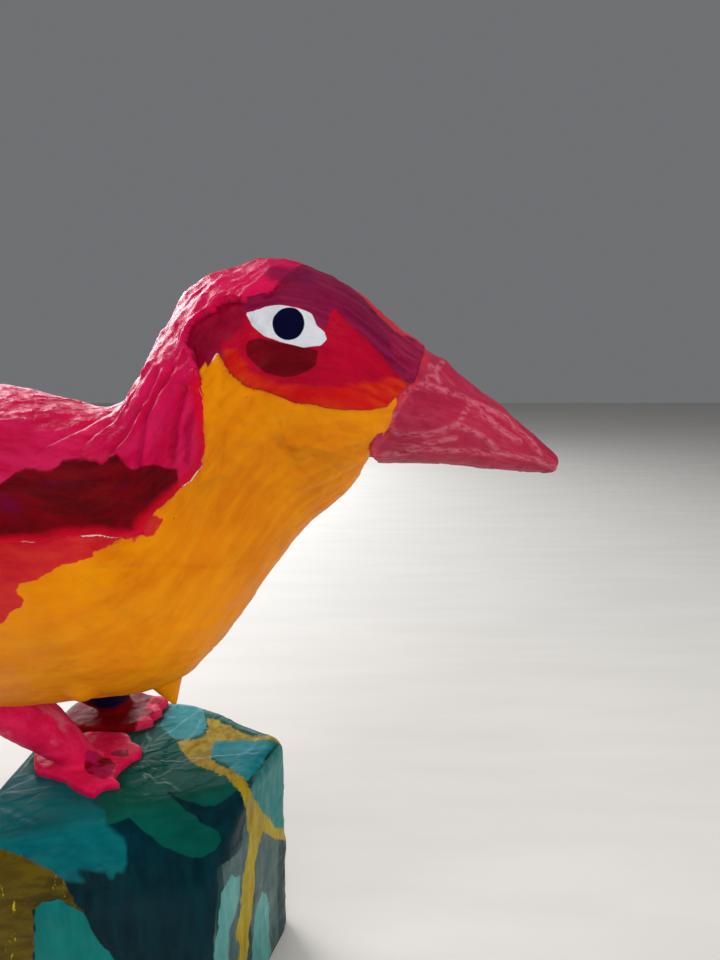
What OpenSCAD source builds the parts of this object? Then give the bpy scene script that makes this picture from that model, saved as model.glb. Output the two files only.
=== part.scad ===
// Papier-mache bird perched on a painted block.
// Millimetres, +Z up, the beak points along +X.
// The origin is the rest point under the block, on the surface it stands on.

/* [Bird body] */
// Length of the body shell from breast to rump
body_len = 230; // [190:1:280]
// Height that the body's outline points are spread over
body_h = 140; // [115:1:170]
// Greatest width of the body shell
body_w = 106; // [86:1:130]
// How far the middle of the body lies behind the origin
body_back = 66; // [55:1:80]
// Height of the middle of the body above the block
body_rise = 83; // [72:1:105]

/* [Head and neck] */
// Length of the head from nape to beak seam
head_len = 86; // [70:1:105]
// Height of the head from crown to jaw
head_h = 78; // [64:1:96]
// Width of the head across the cheeks
head_w = 62; // [50:1:76]
// How far the middle of the head lies ahead of the origin
head_ahead = 69; // [58:1:82]
// Height of the middle of the head above the middle of the body
head_rise = 76; // [66:1:88]

/* [Beak] */
// Length of the beak from its seam to its tip
beak_len = 69; // [50:1:90]
// Radius of the beak where it meets the face
beak_r = 24; // [18:0.5:27]
// Radius of the blunt tip of the beak
beak_tip_r = 4.6; // [3.5:0.1:7]
// Thickness of the rolled card under the beak's paper
beak_card_t = 1.2; // [0.8:0.1:2]
// Angle by which the beak droops below level
beak_droop = 19.5; // [10:0.5:26]

/* [Tail] */
// Length of the tail behind the rump
tail_len = 52; // [36:1:70]
// Width of the tail at its free edge
tail_w = 64; // [46:1:80]
// Width of the tail where it leaves the rump
tail_root_w = 24; // [16:1:27]
// Thickness of the tail's card
tail_card_t = 2; // [1.2:0.1:3]

/* [Paper layers] */
// Thickness of the pasted paper shell
shell_t = 3; // [2.2:0.1:4]
// How far the upper paper layer stands proud of the lower one
mantle_proud = 0.8; // [0.3:0.1:1.5]
// Thickness of masking tape as it is wound
tape_t = 0.8; // [0.5:0.1:1.2]
// Gap left between pieces that only touch
fit_gap = 0.3; // [0.2:0.05:0.5]

/* [Armature] */
// Radius of the two leg wires
leg_wire_r = 1.25; // [0.8:0.05:2]
// Radius of the wire that runs up the neck
neck_wire_r = 1.5; // [1:0.05:2.2]
// Radial clearance round a wire in its hole
wire_gap = 0.05; // [0.02:0.01:0.1]
// Depth of each leg wire in the block
leg_wire_sink = 45; // [30:1:60]
// Height that each leg wire reaches above the block
leg_wire_reach = 60; // [45:1:70]

/* [Legs and feet] */
// Distance between the two feet, middle to middle
foot_spacing = 38; // [30:1:46]
// How far behind the origin the legs enter the feet
leg_back = 28; // [20:1:32]
// Slope of the legs from the vertical, leaning backwards
leg_lean = 34; // [20:1:38]
// Radius of the paper wrapping round each leg
leg_wrap_r = 7; // [4.5:0.1:8]
// Length of each foot from heel to toe tip
foot_len = 50; // [40:1:60]
// Width of each foot across the toes
foot_w = 29; // [24:1:34]
// Thickness of each foot
foot_t = 6; // [4:0.5:8]

/* [Block] */
// Length of the block along the bird
block_len = 106; // [90:1:130]
// Depth of the block at the tail end
block_rear_depth = 100; // [84:1:120]
// Depth of the block at the beak end
block_front_depth = 34; // [28:1:50]
// Height of the block
block_h = 99; // [84:1:125]
// How far the foot of the near corner flares out
corner_flare = 20; // [0:1:24]
// Thickness of the paper skin round the block's core
block_skin_t = 3.5; // [2.5:0.1:5]
// Thickness of the paper sheet under the block
base_sheet_t = 1.2; // [0.8:0.1:2]
// Radius that rounds the block's corners
block_round = 7; // [4:0.5:10]

/* [Hidden] */

eps = 0.01;
$fn = 48;

// ---------- placing ----------
bird_y = 12;                       // the bird stands a little behind the block's middle
body_x = -body_back;
body_z = block_h + body_rise;
head_x = head_ahead;
head_z = body_z + head_rise;

// ---------- the bird's outline as slices ----------
// A slice joins a point on the top outline to a point on the bottom outline, and has a width.
function on_head(u, v) = [head_x + u * head_len / 2, head_z + v * head_h / 2];
function on_body(u, v) = [body_x + u * body_len / 2, body_z + v * body_h / 2];
function slice(top, bottom, width) = [top[0], top[1], bottom[0], bottom[1], width];

// The first slice is the face, which is as large as the beak's root and leans with it
face_lean = 26;
face_at = on_head(0.775, -0.35);
face_up = beak_r * [sin(face_lean), cos(face_lean)];

SLICES = [
    slice(face_at + face_up, face_at - face_up, 1.96 * beak_r),
    slice(on_head(0.82, 0.35), on_head(0.47, -1.04), 0.90 * head_w),
    slice(on_head(0.31, 0.80), on_head(0.36, -1.18), 0.99 * head_w),
    slice(on_head(-0.30, 0.98), on_head(0.20, -1.34), head_w),
    slice(on_head(-0.89, 0.76), on_head(0.00, -1.56), 0.97 * head_w),
    slice(on_head(-1.20, 0.29), on_body(1.05, -0.05), 0.60 * body_w),
    slice(on_body(0.60, 0.94), on_body(0.93, -0.32), 0.68 * body_w),
    slice(on_body(0.48, 0.86), on_body(0.81, -0.55), 0.79 * body_w),
    slice(on_body(0.31, 0.92), on_body(0.65, -0.735), 0.90 * body_w),
    slice(on_body(0.09, 1.00), on_body(0.35, -0.815), 0.98 * body_w),
    slice(on_body(-0.15, 0.98), on_body(0.00, -0.875), body_w),
    slice(on_body(-0.42, 0.82), on_body(-0.36, -0.82), 0.92 * body_w),
    slice(on_body(-0.66, 0.57), on_body(-0.66, -0.54), 0.73 * body_w),
    slice(on_body(-0.86, 0.30), on_body(-0.87, -0.13), 0.50 * body_w),
    slice(on_body(-0.98, 0.17), on_body(-0.98, 0.00), 0.36 * body_w)
];
LAST = len(SLICES) - 1;
BODY_FROM = 6.2;                   // where the body's core starts
CORE_TO = 12.6;                    // where the body's core ends

// Catmull-Rom blend between four slices
function blend(a, b, c, d, f) =
    0.5 * ((2 * b) + (c - a) * f + (2 * a - 5 * b + 4 * c - d) * f * f
    + (3 * b - a - 3 * c + d) * f * f * f);
function pick(i) = SLICES[max(0, min(LAST, i))];
function slice_at(s) = let (i = min(LAST - 1, floor(s)))
    blend(pick(i - 1), pick(i), pick(i + 1), pick(i + 2), s - i);

// A point of the slice at angle a from its top, moved outwards by grow
function on_slice(q, a, grow) =
    let (
        mid = [(q[0] + q[2]) / 2, (q[1] + q[3]) / 2],
        up = [q[0] - mid[0], q[1] - mid[1]],
        high = norm(up),
        k = (high + grow) / high
    )
    [mid[0] + up[0] * k * cos(a), bird_y - (q[4] / 2 + grow) * sin(a), mid[1] + up[1] * k * cos(a)];

// ---------- lofting ----------
// Triangles between each ring of points and the next
function loft_sides(n, m) = [
    for (i = [0:m - 2]) for (j = [0:n - 1]) let (k = (j + 1) % n, a = i * n, b = a + n)
        each [[a + j, a + k, b + k], [a + j, b + k, b + j]]
];
// Joins closed rings of points into one closed solid
module loft(rings) {
    n = len(rings[0]);
    m = len(rings);
    first = [for (j = [n - 1:-1:0]) j];
    last = [for (j = [0:n - 1]) (m - 1) * n + j];
    polyhedron([for (r = rings) each r], concat([first], loft_sides(n, m), [last]), convexity = 8);
}
// The same for thin shells, whose ends are closed by strips from the outer arc to the inner one
module shell_loft(rings) {
    n = len(rings[0]);
    m = len(rings);
    e = (m - 1) * n;
    first = [for (j = [0:n / 2 - 2]) each [[n - 2 - j, j + 1, j], [n - 1 - j, n - 2 - j, j]]];
    last = [for (j = [0:n / 2 - 2])
        each [[e + j, e + j + 1, e + n - 2 - j], [e + j, e + n - 2 - j, e + n - 1 - j]]];
    polyhedron([for (r = rings) each r], concat(first, loft_sides(n, m), last), convexity = 8);
}

function even(from, to, steps) = [for (i = [0:steps]) from + (to - from) * i / steps];
// An open shell's ring: out along the outer arc and back along the inner arc
function shell_ring(q, angles, outer, inner) = concat(
    [for (a = angles) on_slice(q, a, outer)],
    [for (j = [len(angles) - 1:-1:0]) on_slice(q, angles[j], inner)]
);
RING = 28;                         // points round a closed ring
function full_ring(q, grow, steps) = [for (j = [0:steps - 1]) on_slice(q, 360 * j / steps, grow)];

// Angle from the top at which the upper paper layer ends, along the bird
SEAM = [[0, 82], [3, 92], [4, 84], [5.5, 62], [7, 66], [9, 82], [11, 90], [14, 92]];
function seam_at(s) = lookup(s, SEAM);

// A straight round bar between two points
module bar(a, b, r) {
    d = b - a;
    translate(a)
        rotate([0, acos(d[2] / norm(d)), atan2(d[1], d[0])])
            cylinder(h = norm(d), r = r);
}

// ---------- legs ----------
function leg_side(side) = bird_y + side * foot_spacing / 2;
function leg_point(side, z) =
    [-leg_back - (z - block_h) * tan(leg_lean), leg_side(side), z];

module leg_bar(side, extra) {
    bar(
        leg_point(side, block_h - leg_wire_sink),
        leg_point(side, block_h + leg_wire_reach),
        leg_wire_r + extra
    );
}
module both_leg_holes() {
    for (side = [-1, 1]) leg_bar(side, wire_gap);
}

toe_out = 14;                      // the feet turn out by this angle
// Foot outline with three toes; the leg enters it near the heel
module foot_outline(side) {
    toe = foot_w / 2;
    heel = 0.23 * foot_len;
    tip = 0.54 * foot_len;
    translate([-leg_back, leg_side(side)])
        rotate(side * toe_out)
            polygon([
                [-heel, -toe * 0.42], [heel * 0.4, -toe * 0.62], [tip * 0.72, -toe],
                [tip * 0.98, -toe * 0.86], [tip * 0.86, -toe * 0.42], [tip, -toe * 0.16],
                [tip * 0.99, toe * 0.22], [tip * 0.86, toe * 0.44], [tip * 0.95, toe * 0.9],
                [tip * 0.7, toe], [heel * 0.4, toe * 0.6], [-heel, toe * 0.42]
            ]);
}
module foot(side) {
    color([0.88, 0.10, 0.32])
        difference() {
            translate([0, 0, block_h]) linear_extrude(foot_t) foot_outline(side);
            leg_bar(side, wire_gap);
        }
}
belly_inside_z = body_z - 0.30 * body_h;
// The wrapping stands on the foot and ends against the belly
module leg_wrap(side) {
    color([0.60, 0.04, 0.14])
        difference() {
            bar(leg_point(side, block_h), leg_point(side, belly_inside_z), leg_wrap_r);
            translate([-body_len, -body_len, 0])
                cube([2 * body_len, 2 * body_len, block_h + foot_t + fit_gap]);
            loft([for (s = [7:0.5:11]) full_ring(slice_at(s), fit_gap, RING)]);
            leg_bar(side, wire_gap);
        }
}
module leg_wire(side) {
    color([0.55, 0.55, 0.57]) leg_bar(side, 0);
}

// ---------- shells ----------
// The head's shells and the body's shells meet at the neck with a small gap
neck_step = norm([pick(6)[0] - pick(5)[0], pick(6)[1] - pick(5)[1]]);
HEAD_END = 5.3;
BODY_START = HEAD_END + fit_gap / neck_step;
HEAD_STEPS = 12;
BODY_STEPS = 19;
HEAD_AT = even(0, HEAD_END, HEAD_STEPS);
BODY_AT = even(BODY_START, LAST, BODY_STEPS);
// The seam's gap as an angle on the slice at s
function seam_gap(s) = let (q = slice_at(s)) fit_gap * 360 / (PI * q[4]);
HALF_ARC = 9;
LOWER_ARC = 24;
function upper_arc(s) = even(-seam_at(s), seam_at(s), 2 * HALF_ARC);
function lower_arc(s) = let (a = seam_at(s) + seam_gap(s)) even(a, 360 - a, LOWER_ARC);

module lower_shell(at) {
    shell_loft([for (s = at) shell_ring(slice_at(s), lower_arc(s), 0, -shell_t)]);
}
module upper_shell(at) {
    shell_loft([for (s = at) shell_ring(slice_at(s), upper_arc(s), mantle_proud, -shell_t)]);
}
module throat_shell() {
    color([0.95, 0.62, 0.03]) lower_shell(HEAD_AT);
}
module belly_shell() {
    color([0.95, 0.62, 0.03])
        difference() {
            lower_shell(BODY_AT);
            both_leg_holes();
        }
}
module hood_shell() {
    color([0.72, 0.05, 0.20]) upper_shell(HEAD_AT);
}
module mantle_shell() {
    color([0.62, 0.03, 0.14]) upper_shell(BODY_AT);
}

// ---------- cores ----------
core_grow = -shell_t - tape_t - 3 * fit_gap;
module core_part(at) {
    loft([for (s = at) full_ring(slice_at(s), core_grow, RING)]);
}
neck_low = [body_x + 0.36 * body_len / 2, bird_y, body_z + 0.05 * body_h];
neck_high = [head_x + 0.10 * head_len, bird_y, head_z - 0.02 * head_h];
module neck_bar(extra) {
    bar(neck_low, neck_high, neck_wire_r + extra);
}
module body_core() {
    color([0.80, 0.78, 0.72])
        difference() {
            core_part(even(BODY_FROM, CORE_TO, 14));
            both_leg_holes();
            neck_bar(wire_gap);
        }
}
module head_core() {
    color([0.82, 0.80, 0.74])
        difference() {
            core_part([for (i = [1:HEAD_STEPS - 2]) HEAD_AT[i]]);
            neck_bar(wire_gap);
        }
}
module neck_wire() {
    color([0.55, 0.55, 0.57]) neck_bar(0);
}
// One wide strip of tape, open at the nape; it bends where the shells over it bend
tape_at = concat([for (i = [HEAD_STEPS - 3:HEAD_STEPS]) HEAD_AT[i]], [BODY_AT[0], BODY_AT[1]]);
function tape_arc(s) = let (a = seam_at(s), first = a / HALF_ARC) concat(
    even(first, a, HALF_ARC - 1), lower_arc(s), even(360 - a, 360 - first, HALF_ARC - 1)
);
module neck_tape() {
    outer = -shell_t - fit_gap;
    color([0.86, 0.80, 0.62])
        shell_loft([for (s = tape_at) shell_ring(slice_at(s), tape_arc(s), outer, outer - tape_t)]);
}

// ---------- beak ----------
face = SLICES[0];
face_mid = [(face[0] + face[2]) / 2, bird_y, (face[1] + face[3]) / 2];
beak_paper_t = 2;                  // thickness of the paper over the card
plug_len = 0.3 * beak_len;
beak_slope = (beak_r - beak_tip_r) / (beak_len - beak_tip_r);
beak_back = 0.5 * beak_r;          // how far the cones start behind the face before they are cut

// Children are drawn along +Z from the middle of the face, and cut square to the face
module beak_piece() {
    intersection() {
        translate(face_mid) rotate([0, 90 + beak_droop, 0]) children();
        translate(face_mid)
            rotate([0, atan2(face[1] - face[3], face[2] - face[0]), 0])
                translate([-beak_len, -beak_len, fit_gap])
                    cube([2 * beak_len, 2 * beak_len, 2 * beak_len]);
    }
}
// A cone that keeps the beak's slope; inset is measured across the beak
module beak_taper(inset, len) {
    translate([0, 0, -beak_back])
        cylinder(
            h = beak_back + len,
            r1 = beak_r + beak_slope * beak_back - inset,
            r2 = beak_r - beak_slope * len - inset
        );
}
// Length at which the taper with this inset is still end_r thick
function taper_len(inset, end_r) = (beak_r - inset - end_r) / beak_slope;
card_out = beak_paper_t + fit_gap;
card_in = card_out + beak_card_t;

module beak_skin() {
    color([0.80, 0.22, 0.40])
        beak_piece()
            difference() {
                union() {
                    beak_taper(0, beak_len - beak_tip_r);
                    translate([0, 0, beak_len - beak_tip_r]) sphere(r = beak_tip_r);
                }
                beak_taper(beak_paper_t, taper_len(beak_paper_t, 2));
            }
}
module beak_cone() {
    color([0.72, 0.66, 0.52])
        beak_piece()
            difference() {
                beak_taper(card_out, taper_len(card_out, 2.4));
                beak_taper(card_in, taper_len(card_in, 2));
            }
}
module beak_plug() {
    color([0.84, 0.82, 0.76])
        beak_piece() beak_taper(card_in + fit_gap, plug_len);
}

// ---------- tail ----------
rump = SLICES[LAST];
rump_point = [(rump[0] + rump[2]) / 2, bird_y, (rump[1] + rump[3]) / 2];
tail_in = 16;                      // length of the tail card inside the rump
module tail_outline(inset, start) {
    translate([rump_point[0], bird_y])
        polygon([
            [start, -tail_root_w / 2 + inset], [0, -tail_root_w / 2 + inset],
            [-tail_len + inset, -tail_w / 2 + inset], [-tail_len - 5 + inset, 0],
            [-tail_len + inset, tail_w / 2 - inset],
            [0, tail_root_w / 2 - inset], [start, tail_root_w / 2 - inset]
        ]);
}
module tail_card() {
    color([0.72, 0.66, 0.52])
        translate([0, 0, rump_point[2] - tail_card_t / 2])
            linear_extrude(tail_card_t) tail_outline(shell_t, tail_in);
}
module tail_skin() {
    high = tail_card_t + 2 * shell_t;
    color([0.70, 0.05, 0.20])
        difference() {
            translate([0, 0, rump_point[2] - high / 2])
                linear_extrude(high) tail_outline(0, -fit_gap);
            translate([0, 0, rump_point[2] - tail_card_t / 2 - fit_gap])
                linear_extrude(tail_card_t + 2 * fit_gap) tail_outline(shell_t - fit_gap, 1);
        }
}
module rump_plug() {
    color([0.82, 0.80, 0.74])
        difference() {
            core_part(even(CORE_TO + 0.1, LAST - 0.1, 5));
            translate([0, 0, rump_point[2] - tail_card_t / 2 - fit_gap])
                linear_extrude(tail_card_t + 2 * fit_gap) tail_outline(shell_t - fit_gap, tail_in + fit_gap);
        }
}

// ---------- block ----------
rear_x = -block_len / 2;
front_x = block_len / 2 + 3;
front_mid = -3;                    // middle of the block's narrow end
rear_mid = -4;                     // middle of the block's wide end
// Corners, anticlockwise from the near rear one; flare is 0 at the top and 1 at the foot
function corners(flare, grow) = [
    [rear_x - grow, rear_mid - block_rear_depth / 2 - grow],
    [front_x - 11 - 0.5 * corner_flare * flare + grow,
        front_mid - block_front_depth / 2 - corner_flare * flare - grow],
    [front_x + grow, front_mid + block_front_depth / 2 + grow],
    [front_x - 0.45 * block_len, rear_mid + 0.45 * block_rear_depth + grow],
    [rear_x + 4 - grow, rear_mid + block_rear_depth / 2 + grow]
];
// Rounds each corner with a short curve
ROUND_STEPS = 4;
function rounded(p) = [for (i = [0:len(p) - 1])
    let (
        a = p[(i + len(p) - 1) % len(p)], b = p[i], c = p[(i + 1) % len(p)],
        u = b + (a - b) * block_round / norm(a - b),
        v = b + (c - b) * block_round / norm(c - b)
    )
    for (j = [0:ROUND_STEPS]) let (t = j / ROUND_STEPS)
        u * (1 - t) * (1 - t) + b * 2 * t * (1 - t) + v * t * t];
function level(z, flare, grow) = [for (p = rounded(corners(flare, grow))) [p[0], p[1], z]];
top_ease = 2.5;                    // how far the top edges are eased
module block_outer() {
    loft([
        level(base_sheet_t, 1, 0), level(block_h * 0.45, 1, 0.8), level(block_h * 0.73, 0.9, 0.6),
        level(block_h * 0.87, 0.55, 0.3), level(block_h - top_ease, 0, 0),
        level(block_h - top_ease * 0.3, 0, -top_ease * 0.3), level(block_h, 0, -top_ease)
    ]);
}
module core_outline(gap) {
    polygon(rounded(corners(0, -block_skin_t - gap)));
}
core_top = block_h - block_skin_t;
module block_core() {
    color([0.80, 0.78, 0.74])
        difference() {
            translate([0, 0, base_sheet_t + fit_gap])
                linear_extrude(core_top - base_sheet_t - 2 * fit_gap) core_outline(fit_gap);
            both_leg_holes();
        }
}
module block_skin() {
    color([0.02, 0.33, 0.32])
        difference() {
            block_outer();
            translate([0, 0, -eps]) linear_extrude(core_top + eps) core_outline(0);
            both_leg_holes();
        }
}
module block_base_sheet() {
    color([0.03, 0.22, 0.22])
        linear_extrude(base_sheet_t) polygon(rounded(corners(1, 0)));
}

module foot_left() { foot(1); }
module foot_right() { foot(-1); }
module leg_wrap_left() { leg_wrap(1); }
module leg_wrap_right() { leg_wrap(-1); }
module leg_wire_left() { leg_wire(1); }
module leg_wire_right() { leg_wire(-1); }

block_core();
block_skin();
block_base_sheet();
foot_left();
foot_right();
leg_wrap_left();
leg_wrap_right();
leg_wire_left();
leg_wire_right();
hood_shell();
throat_shell();
mantle_shell();
belly_shell();
body_core();
head_core();
neck_wire();
neck_tape();
beak_cone();
beak_skin();
beak_plug();
tail_card();
tail_skin();
rump_plug();
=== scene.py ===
"""Papier-mache bird on a painted block: the visible paper, paint, floor, light and camera.

Lengths are in millimetres while a piece is shaped, and turn into metres when its mesh is made.
The bird looks along +X, and its near side faces -Y.
"""
import math

import bmesh
import bpy
import numpy as np
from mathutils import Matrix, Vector


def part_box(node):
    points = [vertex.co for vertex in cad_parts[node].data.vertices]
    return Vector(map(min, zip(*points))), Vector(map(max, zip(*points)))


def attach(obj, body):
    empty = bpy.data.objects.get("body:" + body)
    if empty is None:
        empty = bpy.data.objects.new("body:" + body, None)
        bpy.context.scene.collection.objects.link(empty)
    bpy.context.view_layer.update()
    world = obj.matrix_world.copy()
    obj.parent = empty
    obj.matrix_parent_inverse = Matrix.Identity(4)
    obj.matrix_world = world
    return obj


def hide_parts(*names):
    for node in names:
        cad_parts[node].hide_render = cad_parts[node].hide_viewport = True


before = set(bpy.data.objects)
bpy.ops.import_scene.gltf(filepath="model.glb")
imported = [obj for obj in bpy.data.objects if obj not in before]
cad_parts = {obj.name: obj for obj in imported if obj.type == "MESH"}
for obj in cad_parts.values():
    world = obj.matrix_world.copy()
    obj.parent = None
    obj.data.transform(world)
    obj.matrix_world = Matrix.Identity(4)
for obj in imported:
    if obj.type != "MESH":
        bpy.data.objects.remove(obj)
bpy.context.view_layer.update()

MM = 0.001
SEED = 11


# ---------------------------------------------------------------- places from the frame
def node_box(name):
    """Lowest and highest corner of a CAD node, in millimetres."""
    low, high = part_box(name)
    return np.array(low) / MM, np.array(high) / MM


BLOCK_LOW, BLOCK_HIGH = node_box("block_skin")
BLOCK_TOP = BLOCK_HIGH[2]
BELLY_LOW, BELLY_HIGH = node_box("belly_shell")
BIRD_Y = (BELLY_LOW[1] + BELLY_HIGH[1]) / 2
BODY_H = 140.0
BODY_W = BELLY_HIGH[1] - BELLY_LOW[1]
BODY_LEN = 230.0
BODY_X = -66.0
BODY_Z = BLOCK_TOP + 83.0
HEAD_LEN = 86.0
HEAD_H = 78.0
HEAD_W = 62.0
HEAD_X = 69.0
HEAD_Z = BODY_Z + 76.0
# thickness of the pasted paper that is shown
BODY_WALL = 2.2
BEAK_WALL = 1.1
BLOCK_WALL = 2.6
# how far the yellow paper runs on under the hood's edge, and the red paper past its painted edge
YELLOW_UNDER_HOOD = 2.6
RED_PAST_EDGE = 1.4


# ---------------------------------------------------------------- noise
class Noise:
    """Smooth value noise in space, the same on every run."""

    def __init__(self, seed):
        self.table = np.random.default_rng(seed).random((32, 32, 32)) * 2 - 1

    def at(self, points, scale):
        p = np.asarray(points) / scale
        cell = np.floor(p).astype(int)
        f = p - cell
        f = f * f * (3 - 2 * f)
        total = 0
        for dx in (0, 1):
            for dy in (0, 1):
                for dz in (0, 1):
                    weight = (
                        (f[..., 0] if dx else 1 - f[..., 0])
                        * (f[..., 1] if dy else 1 - f[..., 1])
                        * (f[..., 2] if dz else 1 - f[..., 2])
                    )
                    corner = self.table[
                        (cell[..., 0] + dx) % 32, (cell[..., 1] + dy) % 32, (cell[..., 2] + dz) % 32
                    ]
                    total = total + weight * corner
        return total

    def layered(self, points, scale, layers=4):
        total = 0
        size = 1.0
        p = np.asarray(points)
        for k in range(layers):
            total = total + size * self.at(p + 17.3 * k, scale / 2 ** k)
            size *= 0.5
        return total

    def ridged(self, points, scale, layers=3):
        """Sharp creases: highest where the noise crosses zero."""
        total = 0
        size = 1.0
        p = np.asarray(points)
        for k in range(layers):
            total = total + size * (1 - 2 * np.abs(self.at(p + 9.1 * k, scale / 2 ** k)))
            size *= 0.5
        return total / 1.75


def smooth(edge0, edge1, x):
    t = np.clip((x - edge0) / (edge1 - edge0), 0, 1)
    return t * t * (3 - 2 * t)


# ---------------------------------------------------------------- outlines
def inside_distance(x, y, corners):
    """Signed distance to a closed outline, positive inside."""
    pts = np.array(corners, float)
    nearest = np.full(np.shape(x), 1e9)
    inside = np.zeros(np.shape(x), bool)
    for a, b in zip(pts, np.roll(pts, -1, axis=0)):
        edge = b - a
        t = np.clip(((x - a[0]) * edge[0] + (y - a[1]) * edge[1]) / (edge @ edge), 0, 1)
        nearest = np.minimum(nearest, np.hypot(x - a[0] - t * edge[0], y - a[1] - t * edge[1]))
        if a[1] != b[1]:
            crossing = (a[1] > y) != (b[1] > y)
            inside ^= crossing & (x < edge[0] * (y - a[1]) / edge[1] + a[0])
    return np.where(inside, nearest, -nearest)


def line_distance(x, y, points):
    """Distance to an open line."""
    pts = np.array(points, float)
    nearest = np.full(np.shape(x), 1e9)
    for a, b in zip(pts[:-1], pts[1:]):
        edge = b - a
        t = np.clip(((x - a[0]) * edge[0] + (y - a[1]) * edge[1]) / (edge @ edge), 0, 1)
        nearest = np.minimum(nearest, np.hypot(x - a[0] - t * edge[0], y - a[1] - t * edge[1]))
    return nearest


# ---------------------------------------------------------------- meshes
def mesh_object(name, verts, faces, fields=None, vectors=None):
    """Makes an object from points in millimetres; fields are one number or vector per point."""
    mesh = bpy.data.meshes.new(name)
    mesh.vertices.add(len(verts))
    mesh.vertices.foreach_set("co", (np.asarray(verts, np.float32) * MM).ravel())
    faces = np.asarray(faces, np.int32)
    mesh.loops.add(faces.size)
    mesh.loops.foreach_set("vertex_index", faces.ravel())
    mesh.polygons.add(len(faces))
    mesh.polygons.foreach_set("loop_start", np.arange(0, faces.size, faces.shape[1], dtype=np.int32))
    mesh.update(calc_edges=True)
    mesh.polygons.foreach_set("use_smooth", np.ones(len(faces), bool))
    for key, values in (fields or {}).items():
        data = mesh.attributes.new(key, "FLOAT", "POINT").data
        data.foreach_set("value", np.asarray(values, np.float32).ravel())
    for key, values in (vectors or {}).items():
        data = mesh.attributes.new(key, "FLOAT_VECTOR", "POINT").data
        data.foreach_set("vector", np.asarray(values, np.float32).ravel())
    obj = bpy.data.objects.new(name, mesh)
    bpy.context.scene.collection.objects.link(obj)
    return obj


def grid_faces(rows, columns, wrap=True):
    i = np.arange(rows - 1)[:, None]
    j = np.arange(columns if wrap else columns - 1)[None, :]
    k = (j + 1) % columns
    return np.stack([i * columns + j, (i + 1) * columns + j, (i + 1) * columns + k, i * columns + k],
                    axis=-1).reshape(-1, 4)


def grid_normals(points):
    """Outward normals of a grid of rings."""
    along = np.gradient(points, axis=0)
    around = np.roll(points, -1, axis=1) - np.roll(points, 1, axis=1)
    n = np.cross(around, along)
    n /= np.linalg.norm(n, axis=-1, keepdims=True) + 1e-9
    middle = points.mean(axis=1, keepdims=True)
    if np.mean(np.sum(n * (points - middle), axis=-1)) < 0:
        n = -n
    return n


def keep_faces(verts, faces, keep, *per_vertex):
    """Drops the faces with a point outside keep, and the points nobody uses."""
    faces = faces[keep[faces].all(axis=1)]
    used = np.unique(faces)
    index = np.full(len(verts), -1)
    index[used] = np.arange(len(used))
    return verts[used], index[faces], [values[used] for values in per_vertex]


def give_wall(verts, normals, faces, wall, *per_vertex):
    """Turns an open sheet into a closed wall of paper, inwards from the sheet."""
    n = len(verts)
    edges = np.concatenate([faces[:, [k, (k + 1) % 4]] for k in range(4)])
    code = np.sort(edges, axis=1)
    code = code[:, 0] * n + code[:, 1]
    _, first, count = np.unique(code, return_index=True, return_counts=True)
    rim = edges[first[count == 1]]
    inner = faces[:, ::-1] + n
    sides = np.stack([rim[:, 1], rim[:, 0], rim[:, 0] + n, rim[:, 1] + n], axis=1)
    verts = np.concatenate([verts, verts - normals * wall])
    return verts, np.concatenate([faces, inner, sides]), [np.concatenate([v, v]) for v in per_vertex]


def point_outwards(obj):
    """Makes a closed mesh's faces look outwards."""
    mesh = obj.data
    mesh.calc_loop_triangles()
    co = np.empty(len(mesh.vertices) * 3, np.float32)
    mesh.vertices.foreach_get("co", co)
    co = co.reshape(-1, 3).astype(float)
    tri = np.empty(len(mesh.loop_triangles) * 3, np.int32)
    mesh.loop_triangles.foreach_get("vertices", tri)
    a, b, c = (co[tri.reshape(-1, 3)[:, k]] for k in range(3))
    if np.sum(a * np.cross(b, c)) < 0:
        mesh.flip_normals()
    return obj


# ---------------------------------------------------------------- the bird's body as slices
def on_head(u, v):
    return [HEAD_X + u * HEAD_LEN / 2, HEAD_Z + v * HEAD_H / 2]


def on_body(u, v):
    return [BODY_X + u * BODY_LEN / 2, BODY_Z + v * BODY_H / 2]


SLICES = np.array([top + bottom + [width] for top, bottom, width in (
    (on_head(1.02, 0.20), on_head(0.53, -0.90), 0.76 * HEAD_W),
    (on_head(0.82, 0.35), on_head(0.47, -1.04), 0.90 * HEAD_W),
    (on_head(0.31, 0.80), on_head(0.36, -1.18), 0.99 * HEAD_W),
    (on_head(-0.30, 0.98), on_head(0.20, -1.34), HEAD_W),
    (on_head(-0.89, 0.76), on_head(0.00, -1.56), 0.97 * HEAD_W),
    (on_head(-1.20, 0.29), on_body(1.05, -0.05), 0.60 * BODY_W),
    (on_body(0.60, 0.94), on_body(0.93, -0.32), 0.68 * BODY_W),
    (on_body(0.48, 0.86), on_body(0.81, -0.55), 0.79 * BODY_W),
    (on_body(0.31, 0.92), on_body(0.65, -0.735), 0.90 * BODY_W),
    (on_body(0.09, 1.00), on_body(0.35, -0.815), 0.98 * BODY_W),
    (on_body(-0.15, 0.98), on_body(0.00, -0.875), BODY_W),
    (on_body(-0.42, 0.82), on_body(-0.36, -0.82), 0.92 * BODY_W),
    (on_body(-0.66, 0.57), on_body(-0.66, -0.54), 0.73 * BODY_W),
    (on_body(-0.86, 0.30), on_body(-0.87, -0.13), 0.50 * BODY_W),
    (on_body(-0.98, 0.17), on_body(-0.98, 0.00), 0.36 * BODY_W),
)])


def slice_at(s, slices):
    """Slices between the given ones, on a smooth curve."""
    s = np.asarray(s, float)
    last = len(slices) - 1
    i = np.clip(np.floor(s).astype(int), 0, last - 1)
    f = (s - i)[..., None]
    a, b, c, d = (slices[np.clip(i + k, 0, last)] for k in (-1, 0, 1, 2))
    return 0.5 * (2 * b + (c - a) * f + (2 * a - 5 * b + 4 * c - d) * f ** 2
                  + (3 * b - a - 3 * c + d) * f ** 3)


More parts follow.
